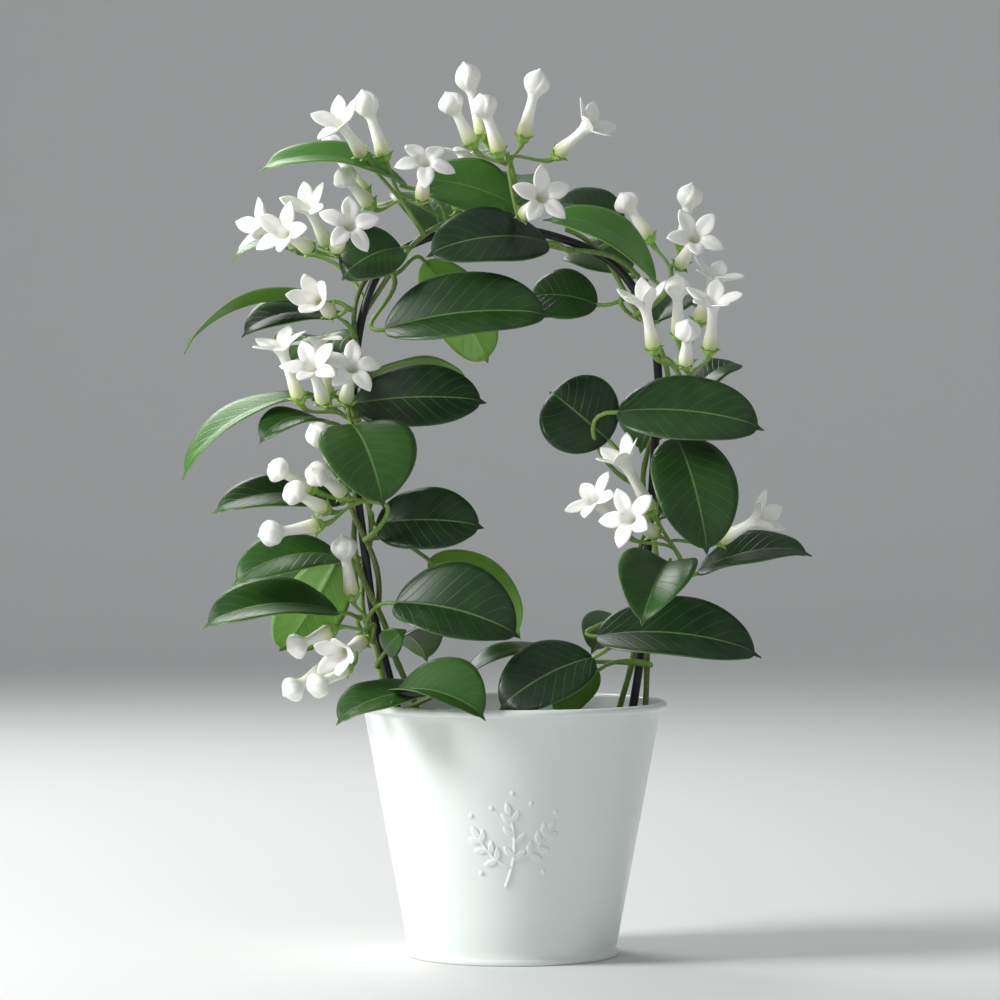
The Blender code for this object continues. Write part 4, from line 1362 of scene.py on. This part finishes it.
@dataclass
class Vine:
    """One leafy stem with its stalks, leaves and calyces. Lengths are in mm."""

    name: str
    hoop: Hoop
    seed: int
    calyx: Calyx = field(default_factory=Calyx)
    sides: int = 12
    stem_radius: float = 1.5
    joint_spacing: float = 50.0
    joint_length: float = 2.2
    coarse_step: float = 12.5
    fine_step: float = 2.5
    twine_radius: float = 4.9
    twine_pitch: float = 92.0
    twine_start: float = 112.0
    spread_radius: float = 10.0
    spread_height: tuple[float, float] = (112.0, 152.0)
    station_reach: float = 40.0
    station_lead: float = 12.0
    stalk_steps: int = 12
    stalk_age: float = 0.12
    stalk_radius: float = 1.05
    stalk_overlap: float = 0.06
    stalk_under_blade: float = 0.5
    spray_stalk_radius: float = 1.2
    flower_stalk_radius: float = 0.85
    flower_stalk_spacing: float = 2.2
    strands: list[Strand] = field(default_factory=list)

    def route(self, step: float) -> tuple[Ring, Ring]:
        """Work out how the stem runs.

        Args:
            step: The distance in mm between the points.

        Returns:
            The points of its middle line in metres, and at each the direction away from the hoop.
        """
        climb = STEMS[self.name]
        first, last = climb.reach
        line = self.hoop.line(climb.leg, step)
        points = []
        outwards = []
        for index in range(1, len(line) - 1):
            travelled = index * step
            if not first <= travelled <= last:
                continue
            along = (line[index + 1] - line[index - 1]).normalized()
            depth = Vector((0, 1, 0))
            held = smooth_step(line[index].z / MM, *self.spread_height)
            angle = math.radians(climb.turn + 360 * max(travelled - self.twine_start, 0) / self.twine_pitch)
            outward = along.cross(depth) * math.cos(angle) + depth * math.sin(angle)
            reach = self.spread_radius + (self.twine_radius - self.spread_radius) * held
            points.append(line[index] + outward * reach * MM)
            outwards.append(outward)
        return points, outwards

    def station(self, target: Vector) -> tuple[Vector, Vector]:
        """Find where a stalk leaves the stem.

        Args:
            target: Where the stalk goes.

        Returns:
            The point on the stem, and the way the stalk leaves it.
        """
        points, outwards = self.route(self.coarse_step)
        closest = min(range(len(points)), key=lambda index: (points[index] - target).length)
        reach = round(self.station_reach / self.coarse_step)
        choices = range(max(closest - reach, 0), min(closest + reach + 1, len(points)))
        leads = [point + outward * self.station_lead * MM for point, outward in zip(points, outwards)]
        best = min(choices, key=lambda index: (leads[index] - target).length + abs(index - closest) * MM)
        return points[best], outwards[best]

    def curve(self, points: tuple[Vector, Vector, Vector, Vector]) -> Ring:
        """Give the points of a stalk's curve from its start, its two handles and its end."""
        return [cubic(points, step / self.stalk_steps) for step in range(self.stalk_steps + 1)]

    def grow_stem(self) -> None:
        """Grow the main stem, slightly thinner towards its end, with swollen joints."""
        line, _ = self.route(self.fine_step)
        radii = []
        for index in range(len(line)):
            off_joint = index * self.fine_step % self.joint_spacing - self.joint_spacing / 2
            joint = math.exp(-(off_joint / self.joint_length) ** 2)
            radii.append(self.stem_radius * MM * (1.04 - 0.24 * index / len(line) + 0.14 * joint))
        self.strands.append(Strand(line, radii, STEMS[self.name].age))

    def grow_stalk(self, through: Vector, run: Vector, radius: float, end: Vector, taper: float) -> None:
        """Grow a stalk from the stem, slightly swollen at its foot.

        Args:
            through: The point in metres where it meets what it carries.
            run: The direction it has there.
            radius: Its radius in mm.
            end: Where it ends, inside what it carries.
            taper: The share of the radius left at its end.
        """
        foot, outward = self.station(through)
        away = (through - foot).length
        line = self.curve((foot, foot + outward * away * 0.4, through - run * away * 0.58, through))
        radii = [radius * MM * (1 + 0.35 * (1 - step / self.stalk_steps) ** 3) for step in range(len(line))]
        self.strands.append(Strand([*line, end], [*radii, radius * taper * MM], self.stalk_age))

    def grow_leaves(self) -> Surface:
        """Grow the leaf stalks and the blades.

        Returns:
            The blades' skin.
        """
        rng = random.Random(self.seed)
        surface = Surface()
        for row in LEAVES[self.name]:
            leaf = Leaf(*row, wave=rng.uniform(0.25, 0.7))
            leaf.add_to(surface)
            start, run, _, up = leaf.stance()
            through = start - up * self.stalk_under_blade * MM
            end = start + run * self.stalk_overlap - up * self.stalk_under_blade * 0.9 * MM
            self.grow_stalk(through, run.normalized(), self.stalk_radius, end, 0.6)
        return surface

    def grow_sprays(self) -> Surface:
        """Grow the flower stalks and the calyces.

        Returns:
            The calyces' skin.
        """
        surface = Surface()
        for name, spray in SPRAYS.items():
            if spray.stem != self.name:
                continue
            hub = to_metres(spray.hub)
            centre = sum((to_metres(calyx) for calyx, _, _ in spray.rows), Vector()) / len(spray.rows)
            forward = (centre - hub).normalized()
            end = hub + forward * self.flower_stalk_spacing * (len(spray.rows) - 0.9) * MM
            self.grow_stalk(hub, forward, self.spray_stalk_radius, end, 0.8)
            for flower in flowers_of(name):
                self.grow_flower_stalk(flower, hub, forward)
                self.calyx.add_to(surface, flower.stance())
        return surface

    def grow_flower_stalk(self, flower: Flower, hub: Vector, forward: Vector) -> None:
        """Grow the stalk from the spray's stalk to one calyx, thickening under it.

        Args:
            flower: The flower that it carries.
            hub: Where the spray's flower stalks start, in metres.
            forward: The direction of the spray's stalk there.
        """
        start = hub + forward * self.flower_stalk_spacing * flower.order * MM
        stance = flower.stance()
        end = stance @ Vector((0, 0, -self.calyx.depth * MM))
        pull = (end - start).length * 0.35
        axis = stance.to_3x3() @ Vector((0, 0, 1))
        radii = [self.flower_stalk_radius * MM * (1 + 0.9 * smooth_step(step, 8, self.stalk_steps))
                 for step in range(self.stalk_steps)]
        line = self.curve((start, start + forward * pull, end - axis * pull, end))
        self.strands.append(Strand(line, [*radii, radii[-1]], 0.0))

    def build(self, blades: list[bpy.types.Material], bark: bpy.types.Material,
              sepal: bpy.types.Material) -> None:
        """Build the stem's three pieces, which together stand for its solid.

        Args:
            blades: The upper and the lower leaf material.
            bark: The material of stems and stalks.
            sepal: The material of the calyces.
        """
        self.grow_stem()
        leaves = self.grow_leaves().to_object("leaves_" + self.name, blades)
        hand_over(leaves, Slot.LEAF, "stem_" + self.name)
        hand_over(self.grow_sprays().to_object("calyces_" + self.name, [sepal]), Slot.LEAF)
        hand_over(sweep(self.strands, "stems_" + self.name, self.sides, bark), Slot.LEAF)


@dataclass
class Sprig:
    """A plain raised sprig with dots at the pot's front. Lengths are in mm from the sprig's middle."""

    lift: float = 0.6
    reach: float = 27.5
    twig_half_width: float = 0.8
    dot_radius: float = 1.3
    leaf_length: float = 8.0
    leaf_half_width: float = 1.9
    crease: float = 0.4
    crease_half_width: float = 0.35
    steps: int = 10
    bends: tuple = (((-3, -22), (4, -4), (-1, 12)), ((0, -13), (-9, -11), (-16, 1)),
                    ((1, -9), (10, -8), (17, 4)))
    leaf_rows: tuple = ((4, 52), (4, -52), (6, -46), (7, 46), (9, -38), (9, 38), (10, 0))
    dots: tuple = ((0, 23), (-10, 16), (9, 18), (-20, 12), (21, 14), (-15, -16), (15, -15))
    twigs: list[Ring] = field(default_factory=list)
    leaves: list[tuple[Vector, Vector]] = field(default_factory=list)

    def __post_init__(self) -> None:
        """Work out the twigs from their bends, and the leaves from their places on a twig and their leans."""
        for foot, pull, end in self.bends:
            shares = [step / self.steps for step in range(self.steps + 1)]
            twig = [Vector(foot) * (1 - u) ** 2 + Vector(pull) * 2 * u * (1 - u) + Vector(end) * u * u
                    for u in shares]
            self.twigs.append(twig)
            for place, lean in self.leaf_rows:
                run = twig[place] - twig[place - 1]
                turn = math.atan2(run.y, run.x) + math.radians(lean)
                self.leaves.append((twig[place], Vector((math.cos(turn), math.sin(turn)))))

    def relief(self, x: float, z: float) -> float:
        """Work out how far the wall stands out at a place.

        Args:
            x: The place across the wall.
            z: The place up the wall.

        Returns:
            The height in mm.
        """
        if max(abs(x), abs(z)) >= self.reach:
            return 0.0
        place = Vector((x, z))
        lift = max(1 - ((place - Vector(dot)).length / self.dot_radius) ** 2 for dot in self.dots)
        for twig in self.twigs:
            for start, end in zip(twig, twig[1:]):
                run = end - start
                share = min(max((place - start).dot(run) / run.length_squared, 0.0), 1.0)
                gap = (place - start - run * share).length
                lift = max(lift, 1 - (gap / self.twig_half_width) ** 2)
        for start, way in self.leaves:
            along = (place - start).dot(way) / self.leaf_length
            if 0 < along < 1:
                across = abs((z - start.y) * way.x - (x - start.x) * way.y)
                edge = self.leaf_half_width * math.sin(math.pi * along ** 0.8)
                crease = self.crease * math.exp(-(across / self.crease_half_width) ** 2)
                lift = max(lift, smooth_step(edge - across, 0.0, 0.9) - crease)
        return self.lift * smooth_step(lift, 0.0, 0.8)


@dataclass
class Pot:
    """The enamelled sheet-metal pot. Lengths are in mm."""

    height: float = 125.0
    wall: float = 0.8
    foot_radius: float = 51.2
    shoulder_radius: float = 72.9
    shoulder_height: float = 120.2
    rim_radius: float = 76.3
    roll_radius: float = 2.0
    bead_radius: float = 52.2
    bead_height: float = 3.0
    floor: float = 1.0
    corner: float = 1.5
    pole_radius: float = 0.01
    sprig_height: float = 61.5
    front_angle: float = 25.0
    front_steps: int = 132
    rear_steps: int = 120
    sharp_angle: float = 50.0

    def outer_radius(self, height: float) -> float:
        """Give the outside radius of the straight wall at a height."""
        share = (height - self.bead_height) / (self.shoulder_height - self.bead_height)
        return self.foot_radius + (self.shoulder_radius - self.foot_radius) * share

    def angles(self) -> list[float]:
        """Choose angles round the pot, close together across the raised sprig at the front.

        Returns:
            The angles in radians, anticlockwise from the front's left end.
        """
        front = math.radians(self.front_angle)
        close = [-math.pi / 2 - front + 2 * front * step / self.front_steps
                 for step in range(self.front_steps + 1)]
        wide = [-math.pi / 2 + front + (math.tau - 2 * front) * step / self.rear_steps
                for step in range(1, self.rear_steps)]
        return close + wide

    def profile(self) -> list[tuple[float, float, bool]]:
        """Draw the pot's section from the axis inside, over the rim, to the axis underneath.

        Returns:
            Each place's radius and height, and whether it is on the wall that carries the sprig.
        """
        inside = self.outer_radius(self.floor) - self.wall
        points = [(self.pole_radius, self.floor), (inside - self.corner, self.floor),
                  (inside, self.floor + self.corner)]
        points += [(self.outer_radius(height) - self.wall, height)
                   for height in (20, 50, 80, 105, self.shoulder_height)]
        for degrees in range(180, -131, -14):
            angle = math.radians(degrees)
            points.append((self.rim_radius - self.roll_radius + self.roll_radius * math.cos(angle),
                           self.height - self.roll_radius + self.roll_radius * math.sin(angle)))
        points.append((self.shoulder_radius + 0.15, self.shoulder_height + 0.35))
        # The wall's rows are 0.5 mm apart where the sprig stands out
        heights = [self.shoulder_height, 116, 110, 104, 98, 93, *(88 - 0.5 * step for step in range(107)),
                   32, 28, 24, 20, 15, 10, 6.5]
        bead = [(self.foot_radius + 0.05, self.bead_height + 0.4),
                (self.foot_radius + 0.4, self.bead_height - 0.1), (self.bead_radius - 0.1, 2.5),
                (self.bead_radius, 1.9), (self.bead_radius, 0.9), (self.bead_radius - 0.25, 0.3),
                (self.bead_radius - 0.8, 0.0), (40, 0.0), (self.pole_radius, 0.0)]
        return ([(radius, height, False) for radius, height in points]
                + [(self.outer_radius(height), height, True) for height in heights]
                + [(radius, height, False) for radius, height in bead])

    def build(self, material: bpy.types.Material) -> None:
        """Turn the pot, raise its sprig, close its poles, and hide the solid it stands for.

        Args:
            material: The enamel.
        """
        angles = self.angles()
        sprig = Sprig()
        rings = []
        places = []
        for radius, height, outer in self.profile():
            sizes = [radius] * len(angles)
            if outer:
                sizes = [radius + sprig.relief((angle + math.pi / 2) * radius, height - self.sprig_height)
                         for angle in angles]
            rings.append([round_point(size, angle, height) * MM for size, angle in zip(sizes, angles)])
            places.append([(index / len(angles), height / self.height) for index in range(len(angles) + 1)])
        surface = Surface()
        surface.add_rings(rings, places, capped=False)
        piece = surface.to_object("enamelled_pot", [material])
        with edited(piece.data) as shape:
            bmesh.ops.holes_fill(shape, edges=[edge for edge in shape.edges if edge.is_boundary], sides=0)
            split_wide_faces(shape)
            bmesh.ops.recalc_face_normals(shape, faces=shape.faces)
        piece.data.set_sharp_from_angle(angle=math.radians(self.sharp_angle))
        hand_over(piece, Slot.ENAMEL, "pot")


@dataclass
class Compost:
    """The compost: an uneven top with loose crumbs, in the pot. Lengths are in mm."""

    edge_height: float = 111.5
    crown_height: float = 115.0
    edge_radius: float = 70.0
    pole_radius: float = 0.02
    settling: float = 0.6
    rings: int = 44
    spokes: int = 132
    crumb_radius: float = 1.25
    smallest_crumb: float = 0.35
    crumbs_per_square_metre: float = 150000.0
    least_upward: float = 0.6
    full_turn: float = 6.28

    def height(self, x: float, y: float, share: float) -> float:
        """Work out the height of the uneven top.

        Args:
            x: The place across the pot.
            y: The place towards its back.
            share: How far the place is from the middle at 0 to the edge at 1.

        Returns:
            The height.
        """
        crown = self.crown_height - (self.crown_height - self.edge_height) * share ** 2
        rough = noise.noise(Vector((x, y, 0)) * 0.10) * 1.2 + noise.noise(Vector((x, y, 7)) * 0.4) * 0.7
        return crown - self.settling + rough * (1 - share ** 6)

    def base(self) -> Surface:
        """Shape the uneven top and the plain sides and underside of the root ball.

        Returns:
            The closed skin.
        """
        angles = [-math.tau * spoke / self.spokes for spoke in range(self.spokes)]
        rings = []
        for step in range(self.rings + 1):
            radius = max(self.edge_radius * step / self.rings, self.pole_radius)
            flat = [round_point(radius, angle, 0.0) for angle in angles]
            rings.append([Vector((x, y, self.height(x, y, step / self.rings))) * MM for x, y, _ in flat])
        for radius, height in ((69.6, 109), (50.2, 2.0), (48.0, 1.4), (self.pole_radius, 1.4)):
            rings.append([round_point(radius, angle, height) * MM for angle in angles])
        surface = Surface()
        surface.add_rings(rings)
        return surface

    def build(self, material: bpy.types.Material) -> None:
        """Scatter crumbs over the top with Geometry Nodes, and hide the solid it stands for.

        Args:
            material: The compost's material.
        """
        source = self.base().to_object("compost_base", [material])
        nodes = GeometryTree("loose_crumbs", {"Crumb Radius": self.crumb_radius * MM,
                                              "Density": self.crumbs_per_square_metre, "Seed": 11})
        given = nodes.given
        upward = nodes.add("ShaderNodeSeparateXYZ", (nodes.add("GeometryNodeInputNormal"),), 2)
        top = nodes.add("FunctionNodeCompare", (upward, self.least_upward), data_type="FLOAT",
                        operation="GREATER_THAN")
        points = nodes.add("GeometryNodeDistributePointsOnFaces", {
            "Mesh": given["Geometry"], "Selection": top, "Density": given["Density"], "Seed": given["Seed"]})
        crumb = nodes.add("GeometryNodeMeshIcoSphere", {"Radius": given["Crumb Radius"], "Subdivisions": 1})
        size = nodes.add("FunctionNodeRandomValue", {2: self.smallest_crumb, 3: 1.0, "Seed": 3}, 1,
                         data_type="FLOAT")
        turn = nodes.add("FunctionNodeRandomValue", {0: (0, 0, 0), 1: (self.full_turn,) * 3, "Seed": 5},
                         data_type="FLOAT_VECTOR")
        crumbs = nodes.add("GeometryNodeInstanceOnPoints", {
            "Points": points, "Instance": crumb, "Rotation": turn,
            "Scale": nodes.add("ShaderNodeCombineXYZ", (size, size, size))})
        both = nodes.add("GeometryNodeJoinGeometry").node
        nodes.link(given["Geometry"], both.inputs[0])
        nodes.link(crumbs, both.inputs[0])
        nodes.finish(both.outputs[0], material)
        hand_over(nodes.applied_to(source, "peat_compost_top"), Slot.COMPOST, "soil")


@dataclass(frozen=True)
class SoftLight:
    """A square area light: its name, its place and size in metres, and its power in watts."""

    name: str
    place: Point
    size: float
    watts: float


@dataclass
class Studio:
    """The pale floor, the soft lights and the camera that sees what the photograph sees, in metres."""

    camera_place: Point = (-0.006, -2.185, 0.262)
    camera_pitch: float = math.radians(1.006)
    focal_mm: float = 160.0
    sensor_mm: float = 36.0
    floor_half: float = 7.0
    wall_distance: float = 4.2
    wall_height: float = 6.0
    cove_radius: float = 1.6
    cove_steps: int = 16
    aim: Point = (0, 0, 0.24)
    surroundings: str = "#dfe3e6"
    surroundings_strength: float = 0.47
    lights: tuple = (SoftLight("key_window", (-1.5, -0.45, 1.0), 0.6, 36.0),
                     SoftLight("front_fill", (0.7, -2.2, 1.1), 1.8, 2.6),
                     SoftLight("rear_rim", (-0.7, 1.3, 1.3), 0.8, 16.0))

    def lay_floor(self, material: bpy.types.Material) -> None:
        """Lay the paper, which curves up into a wall behind the plant.

        Args:
            material: The paper.
        """
        line = [(-self.floor_half, 0.0)]
        for step in range(self.cove_steps + 1):
            turn = math.pi / 2 * step / self.cove_steps
            line.append((self.wall_distance - self.cove_radius * (1 - math.sin(turn)),
                         self.cove_radius * (1 - math.cos(turn))))
        line.append((self.wall_distance, self.wall_height))
        points = [(side * self.floor_half, y, z) for y, z in line for side in (-1, 1)]
        faces = [(2 * row, 2 * row + 1, 2 * row + 3, 2 * row + 2) for row in range(len(line) - 1)]
        floor = bpy.data.meshes.new("studio_floor")
        floor.from_pydata(points, [], faces)
        floor.shade_smooth()
        floor.materials.append(material)
        add_object("studio_floor", floor)

    def hang_lights(self) -> None:
        """Hang the soft lights, aimed at the plant's middle, in pale surroundings."""
        for light in self.lights:
            lamp = bpy.data.lights.new(light.name, "AREA")
            lamp.size = light.size
            lamp.energy = light.watts
            hung = add_object(light.name, lamp)
            hung.location = light.place
            hung.rotation_euler = (Vector(self.aim) - hung.location).to_track_quat("-Z", "Y").to_euler()
        world = bpy.data.worlds.new("pale_studio")
        world.use_nodes = True
        colour, strength = world.node_tree.nodes["Background"].inputs[:2]
        colour.default_value = linear(self.surroundings)
        strength.default_value = self.surroundings_strength
        bpy.context.scene.world = world

    def place_camera(self) -> None:
        """Stand the camera where the photograph was taken, and keep the colours' plain tone."""
        lens = bpy.data.cameras.new("photo_camera")
        lens.lens = self.focal_mm
        lens.sensor_width = self.sensor_mm
        camera = add_object("photo_camera", lens)
        camera.location = self.camera_place
        camera.rotation_euler = (math.pi / 2 - self.camera_pitch, 0, 0)
        bpy.context.scene.camera = camera
        bpy.context.scene.view_settings.view_transform = "Standard"

    def build(self, material: bpy.types.Material) -> None:
        """Set up the floor, the lights and the camera.

        Args:
            material: The floor's material.
        """
        self.lay_floor(material)
        self.hang_lights()
        self.place_camera()


def main() -> None:
    """Build and dress every piece in order."""
    logging.basicConfig(level=logging.INFO, format="%(name)s: %(message)s")
    Studio().build(FloorFinish().build())
    Pot().build(EnamelFinish().build())
    Compost().build(CompostFinish().build())
    hoop = Hoop()
    hoop.build(WireFinish().build())
    upper = LeafFinish().build()
    # Paler and duller than the upper face, as it has less wax
    under = LeafFinish(name="waxy_leaf_under", deep="#35592b", fresh_and_lit="#79ab45", rib="#a9c083",
                       passing="#9fd24a", roughness=0.5, coat=0.03, through=0.24).build()
    sepal = LeafFinish(name="green_sepal", deep="#86c83a", fresh_and_lit="#a0d84c", rib="#bcdc80", passing="#bcf050",
                       roughness=0.42, coat=0.05, through=0.24).build()
    bark = StemFinish().build()
    for index, name in enumerate(STEMS):
        Vine(name, hoop, seed=index + 3).build([upper, under], bark, sepal)
    petal = PetalFinish().build()
    for name in SPRAYS:
        for flower in flowers_of(name):
            flower.build(petal)


if __name__ == "__main__":
    main()
